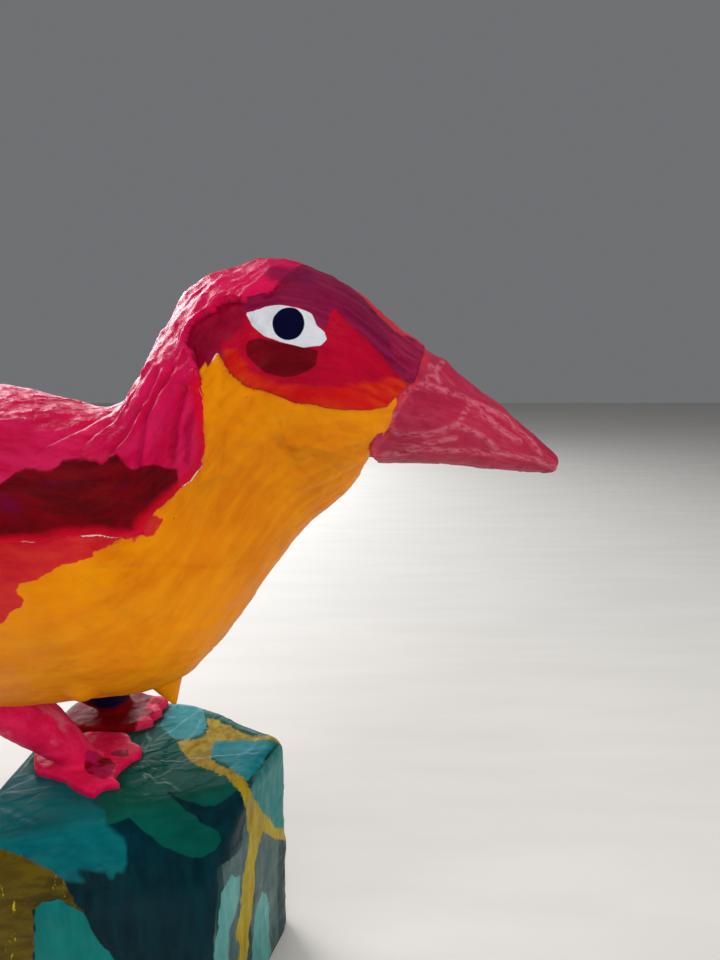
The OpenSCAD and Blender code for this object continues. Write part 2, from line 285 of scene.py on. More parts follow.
def slice_points(s, angle, slices=SLICES, grow=0.0):
    """Points of the slices at s; angle is measured from the top, over the near side."""
    q = slice_at(s, slices)
    mid = (q[..., 0:2] + q[..., 2:4]) / 2
    up = q[..., 0:2] - mid
    high = np.linalg.norm(up, axis=-1, keepdims=True)
    up = up * (high + grow) / high
    side = q[..., 4] / 2 + grow
    return np.stack([
        mid[..., 0] + up[..., 0] * np.cos(angle),
        BIRD_Y - side * np.sin(angle),
        mid[..., 1] + up[..., 1] * np.cos(angle),
    ], axis=-1)


def even_stations(slices, start, end, spacing):
    """Values of s that lie about evenly along the bird."""
    fine = np.linspace(start, end, 2000)
    q = slice_at(fine, slices)
    steps = sum(np.hypot(np.diff(q[:, k]), np.diff(q[:, k + 1])) for k in (0, 2)) / 2
    length = np.concatenate([[0], np.cumsum(steps)])
    count = int(length[-1] / spacing)
    wanted = np.linspace(0, length[-1], count)
    return np.interp(wanted, length, fine), wanted


# ---------------------------------------------------------------- paper
def paper_strips(points, normals, rng, count, half_length, half_width, thickness):
    """Height of pasted paper strips laid at random over a surface."""
    flat = points.reshape(-1, 3)
    lean = normals.reshape(-1, 3)
    height = np.zeros(len(flat))
    ragged = Noise(int(rng.integers(1 << 30)))
    torn = ragged.layered(flat, 5.0, 3)
    for _ in range(count):
        k = rng.integers(len(flat))
        centre, n = flat[k], lean[k]
        turn = rng.normal(size=3)
        t = turn - n * (turn @ n)
        t /= np.linalg.norm(t)
        b = np.cross(n, t)
        size = rng.uniform(0.7, 1.3)
        near = np.linalg.norm(flat - centre, axis=1) < half_length * size * 1.5
        off = flat[near] - centre
        u = np.abs(off @ t) - half_length * size + 1.3 * torn[near]
        v = np.abs(off @ b) - half_width * size + 1.3 * torn[near]
        layer = smooth(0.45, -0.25, np.maximum(u, v))
        layer *= smooth(0.2, 0.5, lean[near] @ n)
        height[near] += layer * thickness * rng.uniform(0.6, 1.2)
    return height.reshape(points.shape[:-1])


def crease(points, line, depth, width):
    """A pressed line, given in side view as (x, z)."""
    d = line_distance(points[..., 0], points[..., 2], line)
    return -depth * np.exp(-(d / width) ** 2)


def fold(points, line, height, reach):
    """A fold: the paper stands up along the line and falls away behind it."""
    d = line_distance(points[..., 0], points[..., 2], line)
    return height * np.exp(-d / reach)


def nub(points, centre, height, radius, power=1.5):
    """A pinched tip that hangs from the belly; centre is (x, y) on its underside."""
    r = np.hypot(points[..., 0] - centre[0], points[..., 1] - centre[1])
    low = smooth(BODY_Z - 0.2 * BODY_H, BODY_Z - 0.35 * BODY_H, points[..., 2])
    return low * height * np.clip(1 - r / radius, 0, 1) ** power


# Outlines on the side of the bird, as (x, z) in millimetres, largely traced from the photo.
# The forehead strip, a painted highlight on top of the brow roll, is seen from above, as (x, distance from
# the bird's middle).
HOOD_EDGE = [(130, 262), (106, 253), (101, 249), (98, 246), (93, 245), (84, 245), (75, 247), (68, 247.5),
             (62, 250), (57.5, 251.5), (54, 252), (50.5, 253.5), (47, 256), (44.5, 259), (42.3, 263.5),
             (40.4, 260.5), (38, 258), (36.4, 255), (35.2, 252.5), (36.3, 250), (37, 246), (37, 233),
             (36, 226), (31, 221), (21, 212), (15.5, 206), (17, 203), (9, 203), (3, 204), (-12, 204),
             (-26, 203), (-60, 198), (-110, 190), (-150, 186), (-185, 184)]
HOOD = HOOD_EDGE + [(-260, 184), (-260, 400), (200, 400), (200, 262)]
CORAL_BAND = [(22, 208), (17.4, 202.5), (9.4, 201.5), (2, 198.2), (1.2, 196), (-6, 197), (-11.5, 194.5),
              (-16, 191.5), (-22, 187), (-20, 184.5), (-28, 177), (-52, 168), (-90, 164), (-130, 170),
              (-165, 178), (-190, 182), (-260, 184), (-260, 260), (-20, 260), (14, 214)]
WING = [(-150, 200), (-128, 212), (-96, 219), (-60, 222), (-29, 221), (-24.5, 224.5), (-20, 226),
        (-15, 225.5), (-12, 228), (-1, 227.5), (0.7, 226), (3, 228.5), (6, 229), (9, 227),
        (11.5, 224.5), (19, 227),
        (27, 224.5), (28, 215), (22, 210), (16, 206), (9, 204), (-9, 202), (-26, 204), (-60, 199),
        (-110, 190), (-140, 188)]
HOOD_LIP = [(56, 281), (51, 280.2), (46.8, 280.8), (42, 280.2), (40.6, 277.8), (37, 276.6), (33.7, 273.4),
            (31.8, 271), (30, 266.3), (32.5, 264.4), (33.3, 261.5), (34.1, 259), (35.4, 257)]
RECESS = HOOD_LIP + [(42, 240), (140, 235), (140, 300), (74, 300)]
CHEEK = [(43.5, 261), (44, 266), (47, 269), (50.5, 272), (51.5, 277), (60, 281), (72, 280), (80.5, 278.3),
         (87.5, 271.5), (92.5, 266.5), (96.5, 262.8), (99.3, 259), (104.3, 253.5), (112, 250), (112, 240),
         (60, 238), (43, 245)]
PLUM = [(50, 278), (51.7, 276.6), (54.5, 278), (57.5, 278.6), (61.3, 279), (66.2, 278.5), (69.4, 278.4),
        (71.3, 276.8), (73.8, 273.8), (76.2, 271.6), (78.4, 272.2), (79.2, 276), (80.4, 278.2),
        (87.4, 271.5), (92.5, 266.6), (96.4, 262.8), (99.3, 258.9), (104, 253.8), (106.8, 253.6),
        (109, 256), (122, 262), (112, 280), (96, 300), (72, 300), (69.5, 286.5), (62, 284.4),
        (58.8, 283.2), (55.3, 283), (52.3, 281)]
CROWN_PATCH = [(56.7, 289.3), (58.7, 292), (65.4, 292.6), (72, 292), (74, 286), (68.2, 286), (62.5, 286)]
NOSE_FLAP = [(98, 269), (102, 270), (109, 270), (113, 265), (108.7, 259), (106.8, 254.6), (101.6, 259)]
LOW_CHEEK = [(42, 264), (45.5, 265.5), (50, 264), (54, 259), (62, 255), (70, 253.8), (85, 253.8), (103, 256),
             (112, 250), (98, 238), (60, 240), (43, 250)]
UNDER_EYE = [(51.8, 266), (52.8, 267.6), (56, 268.4), (59, 267.8), (64, 267), (70, 266), (73, 265.2),
             (75.6, 264.3), (75, 260), (72.6, 258), (68, 256.3), (64.3, 255.8), (58.1, 257.5), (55, 260),
             (52.4, 262.3)]
EYE = [(51.3, 276.8), (53.5, 277.1), (57.8, 279), (61.4, 279.2), (65.5, 278.6), (71, 277.2), (73.4, 276),
       (75, 272.6), (77.6, 270.6), (78.4, 268), (76.4, 266), (70.8, 265.6), (64.2, 267), (58, 269),
       (53.8, 272.4), (52.2, 275)]
FOREHEAD_HIGHLIGHT_STRIP = [(84, -4), (92, -10.5), (97, -13.5), (103, -12.5), (108, -7), (118, -6), (118, 11), (84, 9)]
PUPIL_CENTRE = (65.8, 273.0)
PUPIL_RADIUS = 5.2
NECK_FOLDS = [[(15, 259), (9, 248), (3, 240), (-6, 234)], [(21, 257), (16, 247), (10, 237), (3, 230)],
              [(26, 257), (20.7, 249.8), (15.5, 239), (13, 226)], [(31, 251), (27.5, 241), (25, 229)],
              [(-20, 232), (-8, 238), (4, 246)], [(33, 243), (31, 236), (30, 228)]]
BREAST_FOLD = [(37, 232), (35, 221), (28, 211), (18, 201)]
BREAST_CREASE = [(-2, 194), (10, 193), (20, 192), (30, 190), (40, 187), (50, 188)]
THROAT_CREASES = [[(66, 210), (74, 216), (82, 219)], [(60, 203), (66, 209)]]


def bird_surface(spacing):
    """The bird's skin as a grid of points with normals, paint fields and brush directions."""
    s, along = even_stations(SLICES, 0, len(SLICES) - 1, spacing)
    around = int(390 / spacing)
    angle = np.linspace(0, 2 * math.pi, around, endpoint=False)
    base = slice_points(s[:, None], angle[None, :])
    normals = grid_normals(base)
    rng = np.random.default_rng(SEED)
    lumps = Noise(1)
    creases = Noise(2)
    ripples = Noise(3)
    x, y, z = base[..., 0], base[..., 1], base[..., 2]

    height = 0.9 * lumps.layered(base, 42.0, 2) + 0.35 * lumps.layered(base + 50, 13.0, 2)
    height += paper_strips(base, normals, rng, 130, 24, 8.5, 0.26)
    height += paper_strips(base, normals, rng, 80, 12, 5, 0.16)
    stretched = base * np.array([1.0, 2.2, 3.4])
    back = smooth(205, 235, z) * smooth(30, 0, x)
    height += back * 0.5 * creases.ridged(stretched + 4 * lumps.at(base, 20.0)[..., None], 17.0, 3)
    hood = smooth(-12, 12, x) * smooth(226, 244, z) * smooth(78, 44, x)
    tilted = np.stack([x * 0.75 - z * 0.66, y, x * 0.66 + z * 0.75], axis=-1) * np.array([2.6, 1.2, 0.9])
    height += hood * 1.35 * creases.ridged(tilted + 5 * lumps.at(base, 16.0)[..., None], 15.0, 3)
    height += hood * 0.65 * ripples.ridged(base + 3 * lumps.at(base, 8.0)[..., None], 6.0, 3)
    height += back * 0.34 * ripples.ridged(base * np.array([0.8, 1.4, 2.6]), 6.5, 3)
    height += 0.13 * ripples.layered(base * np.array([1, 1, 2.2]), 4.0, 3)
    # paper is finely crinkled on the crown
    height += 0.5 * smooth(262, 284, z) * ripples.ridged(base * np.array([1, 1.6, 1.6]), 8.0, 3)

    for line in NECK_FOLDS:
        height += crease(base, line, 1.5, 1.1) + fold(base, [(px + 2.6, pz) for px, pz in line], 1.1, 1.5)
    beside_fold = [(px - 3, pz) for px, pz in BREAST_FOLD]
    height += fold(base, BREAST_FOLD, 0.9, 3.0) + crease(base, beside_fold, 1.0, 2.4)
    height += crease(base, BREAST_CREASE, 0.45, 0.7)
    for line in THROAT_CREASES:
        height += crease(base, line, 0.5, 0.8)
    height += nub(base, (9.5, 4.0), 10.0, 6.0, 1.1)
    height += nub(base, (-14.0, -20.0), 4.2, 6.0, 0.9)
    height += nub(base, (-64.0, 0.0), 3.5, 14.0)

    wobble = Noise(4)
    rag = 0.8 * wobble.layered(base, 7.0, 3) + 0.5 * wobble.layered(base * np.array([0.5, 1, 1.6]), 2.2, 2)
    face_rag = 0.35 * wobble.layered(base + 30, 4.0, 2)
    fields = {
        "hood": inside_distance(x, z, HOOD) + np.where(x > 40, 0.5, 1.0) * rag * 0.7,
        "coral": inside_distance(x, z, CORAL_BAND) + 1.2 * rag,
        "wing": inside_distance(x, z, WING) + rag,
        "recess": inside_distance(x, z, RECESS) + face_rag,
        "cheek": inside_distance(x, z, CHEEK) + 2 * face_rag,
        "plum": inside_distance(x, z, PLUM) + 0.7 * face_rag,
        "crown_patch": inside_distance(x, z, CROWN_PATCH) + 2 * face_rag,
        "nose_flap": inside_distance(x, z, NOSE_FLAP) + face_rag,
        "low_cheek": inside_distance(x, z, LOW_CHEEK) + face_rag,
        "under_eye": inside_distance(x, z, UNDER_EYE) + 0.5 * face_rag,
        "eye": inside_distance(x, z, EYE) + 0.12 * face_rag,
        "pupil": PUPIL_RADIUS - np.hypot(x - PUPIL_CENTRE[0], z - PUPIL_CENTRE[1]) + 0.25 * face_rag,
        "strip": inside_distance(x, y - BIRD_Y, FOREHEAD_HIGHLIGHT_STRIP) + face_rag,
    }
    flow = np.stack([along[:, None] + 0 * angle, 35 * angle + 0 * along[:, None], 0 * x], axis=-1) * MM
    flow[..., 2] = y * MM
    return base, normals, height, fields, flow


def lip(d, low, high):
    """Height of a torn edge: low below the surface outside, high above it inside."""
    return low + (high - low) * smooth(-0.35, 0.35, d)


def bird_pieces():
    spacing = 0.85
    base, normals, height, fields, flow = bird_surface(spacing)
    rows, columns = base.shape[:2]
    faces = grid_faces(rows, columns)
    hood_d = fields["hood"]
    names = list(fields)

    # the hood's paper overlaps the face and has a raised edge of its own there
    recess = fields["recess"]
    beside = smooth(68, 50, base[..., 0]) * smooth(235, 255, base[..., 2])
    step = beside * np.where(recess > 0, -1.7, 1.3) * np.exp(-np.abs(recess) / 4.5)
    step += 0.45 * smooth(-0.25, 0.25, fields["plum"]) * smooth(66, 74, base[..., 0])
    step += 0.35 * smooth(-0.25, 0.25, fields["nose_flap"])
    settle = 0.25 + 0.75 * np.exp(-np.maximum(hood_d, 0) / 7.0)
    rim = lip(hood_d, -0.9, 0.85) * np.where(hood_d > 0, settle, 1)
    lower = base + normals * height[..., None]
    upper = base + normals * (height + rim + step)[..., None]
    pieces = []
    for name, points, keep, nodes, slot in (
        ("belly_paper", lower, hood_d < YELLOW_UNDER_HOOD, ("throat_shell", "belly_shell"), "yellow_paint"),
        ("mantle_paper", upper, hood_d > -RED_PAST_EDGE, ("hood_shell", "mantle_shell"), "red_paint"),
    ):
        true_normals = grid_normals(points).reshape(-1, 3)
        flat = points.reshape(-1, 3)
        columns_of = [true_normals, flow.reshape(-1, 3)] + [fields[k].reshape(-1) for k in names]
        verts, kept, values = keep_faces(flat, faces, keep.reshape(-1), *columns_of)
        verts, kept, values = give_wall(verts, values[0], kept, BODY_WALL, *values)
        obj = mesh_object(name, verts, kept, dict(zip(names, values[2:])), {"flow": values[1]})
        point_outwards(obj)
        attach(obj, "root")
        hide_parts(*nodes)
        pieces.append(obj)
    return pieces


# ---------------------------------------------------------------- beak
def grown(q, grow):
    """A slice that is larger by grow on every side."""
    q = np.array(q, float)
    up = q[0:2] - q[2:4]
    up *= grow / np.linalg.norm(up)
    return np.concatenate([q[0:2] + up, q[2:4] - up, [q[4] + 2 * grow]])


BEAK_SLICES = np.array(
    [grown(slice_at(s, SLICES), 0.8) for s in (1.0, 0.6, 0.2)] + [
        (114.2, 264.8, 93.6, 222.6, 47.0),
        (121.5, 259.4, 104.5, 222.6, 40.0),
        (134.9, 249.3, 123.8, 222.0, 31.0),
        (146.9, 240.4, 136.1, 220.2, 23.5),
        (156.0, 233.0, 147.3, 219.2, 17.0),
        (163.4, 226.8, 158.4, 219.2, 10.5),
        (166.2, 223.6, 164.6, 219.2, 6.5),
        (166.9, 222.0, 166.7, 220.6, 1.5),
        (166.9, 221.3, 166.9, 221.3, 0.01),
    ])
BEAK_AREA = [(116, 280), (113.5, 268), (112, 263.5), (109, 258.5), (107, 254), (104, 252), (101.5, 250),
             (100.5, 245), (99.5, 241), (96, 236.5), (92, 232.5), (93.5, 227.5), (98, 221), (102, 205),
             (220, 200), (220, 280)]
BEAK_FLAP = [(107, 252), (102.5, 247), (99.5, 240), (102, 236), (113, 235.5), (124, 239), (129.5, 246),
             (119, 250), (111, 253)]
BEAK_STRIP = [(86, 222), (94, 225.5), (99, 228), (110, 230), (127, 229.3), (144, 227), (157, 224), (170, 219),
              (170, 205), (86, 205)]
BEAK_RIDGE = [(116, 251), (124, 248.5), (131, 245), (144, 238.5), (152, 232), (158, 226)]
BEAK_FOLDS = [[(109, 252), (113, 255), (119, 259.5)], [(114, 259), (117, 253)],
              [(124, 239), (135, 233.5), (140, 229)], [(103, 228), (112, 232), (124, 234)],
              [(133, 242), (140, 236), (149, 231)]]


def beak_piece():
    spacing = 0.62
    s, along = even_stations(BEAK_SLICES, 0, len(BEAK_SLICES) - 1, spacing)
    s[-1] = len(BEAK_SLICES) - 1
    angle = np.linspace(0, 2 * math.pi, int(150 / spacing), endpoint=False)
    base = slice_points(s[:, None], angle[None, :], BEAK_SLICES)
    normals = grid_normals(base)
    normals[-3:] = [1, 0, -0.3]
    rng = np.random.default_rng(SEED + 1)
    lumps, folds, rags = Noise(21), Noise(22), Noise(23)
    x, z = base[..., 0], base[..., 2]
    fade = smooth(0, 3.0, along[-1] - along)[:, None]
    height = 0.55 * lumps.layered(base, 17.0, 2) + paper_strips(base, normals, rng, 26, 15, 6, 0.22)
    height += 0.16 * folds.ridged(base * np.array([0.35, 1.5, 1.9]), 8.0, 3)
    flap = inside_distance(x, z, BEAK_FLAP) + 0.3 * rags.at(base, 3.0)
    strip = inside_distance(x, z, BEAK_STRIP) + 0.4 * rags.at(base + 9, 4.0)
    height += 0.42 * smooth(-0.3, 0.3, flap) + 0.38 * smooth(-0.35, 0.35, strip)
    height += 0.75 * np.exp(-(line_distance(x, z, BEAK_RIDGE) / 1.9) ** 2)
    for line in BEAK_FOLDS:
        height += fold(base, line, 0.45, 1.2)
    height -= 1.0 * np.exp(-((x - 112) ** 2 + (z - 247) ** 2) / 7.0)
    height += 0.8 * np.exp(-((x - 120) ** 2 + (z - 259) ** 2) / 12.0)
    area = inside_distance(x, z, BEAK_AREA) + 0.8 * rags.layered(base, 4.5, 3)
    height = height * fade + lip(area, -1.6, 0.25)
    points = base + normals * height[..., None]
    edges = np.minimum(np.abs(flap), np.abs(strip))
    for line in [BEAK_RIDGE] + BEAK_FOLDS:
        edges = np.minimum(edges, line_distance(x, z, line))
    flow = np.stack([along[:, None] + 0 * angle, 24 * angle + 0 * along[:, None], base[..., 1]], axis=-1) * MM
    names = ["area", "edges"]
    values = [area, edges]
    turned = grid_normals(points)
    turned[-3:] = [1, 0, -0.3]
    per_point = [turned.reshape(-1, 3), flow.reshape(-1, 3)] + [v.reshape(-1) for v in values]
    verts, kept, rest = keep_faces(points.reshape(-1, 3), grid_faces(*base.shape[:2]),
                                   area.reshape(-1) > -0.7, *per_point)
    inner = smooth(0, 2.0, np.abs(verts[:, 0] - 169))[:, None] * rest[0]
    verts, kept, rest = give_wall(verts, inner, kept, BEAK_WALL, *rest)
    obj = mesh_object("beak_paper", verts, kept, dict(zip(names, rest[2:])), {"flow": rest[1]})
    weld(obj)
    point_outwards(obj)
    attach(obj, "root")
    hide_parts("beak_skin")
    return obj


def weld(obj, distance=0.02):
    """Joins the points of a mesh that lie on top of each other."""
    bm = bmesh.new()
    bm.from_mesh(obj.data)
    bmesh.ops.remove_doubles(bm, verts=bm.verts, dist=distance * MM)
    bm.to_mesh(obj.data)
    bm.free()


# ---------------------------------------------------------------- tail
FEATHER_W = 12.4


def tail_piece():
    """A flat fan of papered card; its end is scalloped."""
    spacing = 0.8
    tip = node_box("tail_skin")[0][0] + 1.5
    root = -170.0
    stations = np.linspace(root, tip, int((root - tip) / spacing))
    angle = np.linspace(0, 2 * math.pi, int(130 / spacing), endpoint=False)
    t = (root - stations) / (root - tip)
    half_width = np.interp(t, [0, 0.18, 0.45, 0.8, 0.96, 1], [17, 14.5, 17.5, 27, 31, 31])
    half_high = np.interp(t, [0, 0.2, 0.5, 0.9, 0.985, 1], [7.5, 5.2, 3.9, 2.9, 2.2, 0.02])
    middle = np.interp(t, [0, 0.3, 1], [187.5, 188.0, 188.5])
    c, s = np.cos(angle), np.sin(angle)
    across = np.sign(s) * np.abs(s) ** 0.7
    y = BIRD_Y - half_width[:, None] * across
    scallop = 2.8 * np.abs(np.cos((y - BIRD_Y) / 31 * 2.5 * math.pi)) - 2.8
    x = stations[:, None] - smooth(0.7, 1.0, t)[:, None] * scallop
    z = middle[:, None] + half_high[:, None] * c[None, :]
    base = np.stack([x, y, z], axis=-1)
    normals = grid_normals(base)
    rng = np.random.default_rng(SEED + 2)
    lumps, folds = Noise(31), Noise(32)
    height = 0.5 * lumps.layered(base, 22.0, 2) + paper_strips(base, normals, rng, 34, 16, 6, 0.24)
    height += 0.3 * folds.ridged(base * np.array([0.5, 1.6, 1.2]), 11.0, 3)
    # shallow grooves part the feathers
    groove = np.abs(((y - BIRD_Y) / FEATHER_W + 0.5 + 8) % 1 - 0.5)
    height -= 0.7 * np.exp(-(groove / 0.07) ** 2) * smooth(0.35, 0.7, t)[:, None]
    height *= smooth(0, 0.04, 1 - t)[:, None]
    points = base + normals * height[..., None]
    flow = np.stack([stations[:, None] + 0 * y, y, z], axis=-1) * MM
    fields = {
        "feather": groove * FEATHER_W,
        "under": -(z - middle[:, None]),
        "along": t[:, None] * 60 + 0 * y,
    }
    obj = mesh_object("tail_paper", points.reshape(-1, 3), grid_faces(*base.shape[:2]),
                      {k: v.reshape(-1) for k, v in fields.items()}, {"flow": flow.reshape(-1, 3)})
    close_ends(obj)
    point_outwards(obj)
    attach(obj, "root")
    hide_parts("tail_skin")
    return obj


def close_ends(obj):
    """Welds a tube's points and fills the holes at its ends."""
    weld(obj)
    bm = bmesh.new()
    bm.from_mesh(obj.data)
    bmesh.ops.holes_fill(bm, edges=[e for e in bm.edges if e.is_boundary], sides=0)
    bm.to_mesh(obj.data)
    bm.free()


# ---------------------------------------------------------------- feet
NEAR_FOOT = [(-41, -9), (-38.5, -12), (-33, -14), (-24, -18), (-15, -23.5), (-10.6, -25), (-9.2, -20.5),
             (-2.6, -19.2), (-6, -16.8), (-7, -13), (-6.5, -10), (-4, -6.5), (-4.6, -5), (-1.5, -2.2),
             (-3, 3.5), (-8, 6), (-10, 10), (-15, 12.5), (-27, 13), (-38, 10), (-44, 5), (-45, -3)]
FAR_FOOT = [(-3, 20), (-6, 23.5), (-1.5, 28), (-4.5, 31), (-1, 36.5), (-5, 40), (-12, 41), (-20, 43.5),
            (-30, 42), (-40, 38), (-45, 33), (-44, 22), (-36, 16), (-26, 14.4), (-16, 14.2), (-9, 17.5)]
NEAR_LEG = [(-20, -6, 101.5, 4.2), (-26, -6, 105.5, 5.8), (-32, -6, 111.5, 7.4), (-38, -6.5, 118, 8.6),
            (-45, -7, 124.5, 9.5), (-53, -7, 130, 10.5)]
FAR_LEG = [(-22, 31, 103, 4.5), (-26, 31, 107.5, 7.0), (-30, 31, 113, 9.0), (-35, 31, 118.5, 10.5),
           (-41, 31, 124, 11.0), (-47, 31, 129, 11.5)]
NEAR_NAILS = [[(-20, -12), (-20.5, -7), (-17, -4.6), (-12, -6), (-8.6, -9), (-7.4, -15), (-9, -18.5),
               (-13, -16.5), (-17.5, -14.5)],
              [(-13, -2.6), (-11, -0.6), (-7, -0.8), (-4.6, -4), (-7, -5.6), (-11, -4.4)]]
FAR_NAILS = [[(-13, 23), (-11, 28), (-7, 29.5), (-5, 26), (-7, 22)],
             [(-10, 33), (-8, 37), (-4, 36), (-5, 32)]]


def add_blob(bm, centre, radius, squash=1.0):
    made = bmesh.ops.create_icosphere(bm, subdivisions=3, radius=radius * MM)
    for v in made["verts"]:
        v.co.y *= 1.15
        v.co.z *= squash
        v.co += Vector(centre) * MM


def foot_piece(name, outline, leg, nails, nodes, seed):
    bm = bmesh.new()
    low, high = BLOCK_TOP - 0.6, BLOCK_TOP + 3.6
    ring = [bm.verts.new((px * MM, py * MM, low * MM)) for px, py in outline]
    plate = bm.faces.new(ring)
    raised = bmesh.ops.extrude_face_region(bm, geom=[plate])["geom"]
    for v in (g for g in raised if isinstance(g, bmesh.types.BMVert)):
        v.co.z = high * MM
    for (x0, y0, z0, r0), (x1, y1, z1, r1) in zip(leg[:-1], leg[1:]):
        for k in range(5):
            f = k / 5
            add_blob(bm, (x0 + (x1 - x0) * f, y0 + (y1 - y0) * f, z0 + (z1 - z0) * f), r0 + (r1 - r0) * f)
    mesh = bpy.data.meshes.new(name)
    bmesh.ops.recalc_face_normals(bm, faces=bm.faces)
    bm.to_mesh(mesh)
    bm.free()
    obj = bpy.data.objects.new(name, mesh)
    bpy.context.scene.collection.objects.link(obj)
    remesh = obj.modifiers.new("remesh", "REMESH")
    remesh.mode = "VOXEL"
    remesh.voxel_size = 0.55 * MM
    evaluated = obj.evaluated_get(bpy.context.evaluated_depsgraph_get())
    made = bpy.data.meshes.new_from_object(evaluated)
    obj.modifiers.clear()
    obj.data = made
    made.name = name
    shape_paper(obj, seed, 14, 0.5)
    co = points_of(obj)
    rag = 0.5 * Noise(seed + 5).layered(co, 2.6, 3)
    nail = np.max([inside_distance(co[:, 0], co[:, 1], n) for n in nails], axis=0) + rag
    lift = co[:, 2] - BLOCK_TOP
    front = co[:, 0] - np.interp(co[:, 2], [BLOCK_TOP, BLOCK_TOP + 22], [leg[0][0], leg[-1][0]])
    set_fields(obj, {
        "nail": np.where(lift > 2.2, nail, -3),
        "reach": co[:, 0] + 2 * rag,
        "front": front + rag,
        "lift": lift + rag,
    })
    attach(obj, "root")
    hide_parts(*nodes)
    return obj


def points_of(obj):
    co = np.empty(len(obj.data.vertices) * 3, np.float32)
    obj.data.vertices.foreach_get("co", co)
    return co.reshape(-1, 3).astype(float) / MM


def normals_of(obj):
    n = np.empty(len(obj.data.vertices) * 3, np.float32)
    obj.data.vertices.foreach_get("normal", n)
    return n.reshape(-1, 3).astype(float)


def set_points(obj, co):
    obj.data.vertices.foreach_set("co", (np.asarray(co, np.float32) * MM).ravel())
    obj.data.update()


def set_fields(obj, fields):
    for key, values in fields.items():
        data = obj.data.attributes.new(key, "FLOAT", "POINT").data
        data.foreach_set("value", np.asarray(values, np.float32))


def shape_paper(obj, seed, rounds, depth):
    """Rounds a remeshed piece, then gives it the lumps of pulp."""
    edges = np.empty(len(obj.data.edges) * 2, np.int32)
    obj.data.edges.foreach_get("vertices", edges)
    a, b = edges.reshape(-1, 2).T
    co = points_of(obj)
    count = np.bincount(np.concatenate([a, b]), minlength=len(co))[:, None]
    for _ in range(rounds):
        total = np.zeros_like(co)
        for axis in range(3):
            total[:, axis] = (np.bincount(a, co[b, axis], len(co)) + np.bincount(b, co[a, axis], len(co)))
        co = 0.4 * co + 0.6 * total / count
    set_points(obj, co)
    lumps = Noise(seed)
    height = depth * (lumps.layered(co, 9.0, 3) + 0.35 * lumps.ridged(co, 4.0, 2))
    set_points(obj, co + normals_of(obj) * height[:, None])
    obj.data.polygons.foreach_set("use_smooth", np.ones(len(obj.data.polygons), bool))


# ---------------------------------------------------------------- block
TURN = math.radians(25)
TILT = math.radians(35)


def block_corners(flare, grow):
    """The block's five corners, in order round it; flare is 0 at the top and 1 at the foot."""
    rear_x, front_x, front_mid, rear_mid = BLOCK_LOW[0], 56.0, -3.0, -4.0
    return np.array([
        (rear_x - grow, rear_mid - 50 - grow),
        (front_x - 11 - 10 * flare + grow, front_mid - 17 - 20 * flare - grow),
        (front_x + grow, front_mid + 17 + grow),
        (front_x - 47.7, rear_mid + 45 + grow),
        (rear_x + 4 - grow, rear_mid + 50 + grow),
    ])


def rounded_ring(corners, radius, count):
    """Points at even steps round a polygon with rounded corners, seam at the same place each time."""
    points = []
    for i in range(len(corners)):
        a, b, c = corners[i - 1], corners[i], corners[(i + 1) % len(corners)]
        u = b + (a - b) * radius / np.linalg.norm(a - b)
        v = b + (c - b) * radius / np.linalg.norm(c - b)
        for t in np.linspace(0, 1, 9):
            points.append(u * (1 - t) ** 2 + b * 2 * t * (1 - t) + v * t ** 2)
    points = np.array(points + [points[0]])
    length = np.concatenate([[0], np.cumsum(np.linalg.norm(np.diff(points, axis=0), axis=1))])
    wanted = np.linspace(0, length[-1], count, endpoint=False)
    return np.stack([np.interp(wanted, length, points[:, k]) for k in (0, 1)], axis=-1)


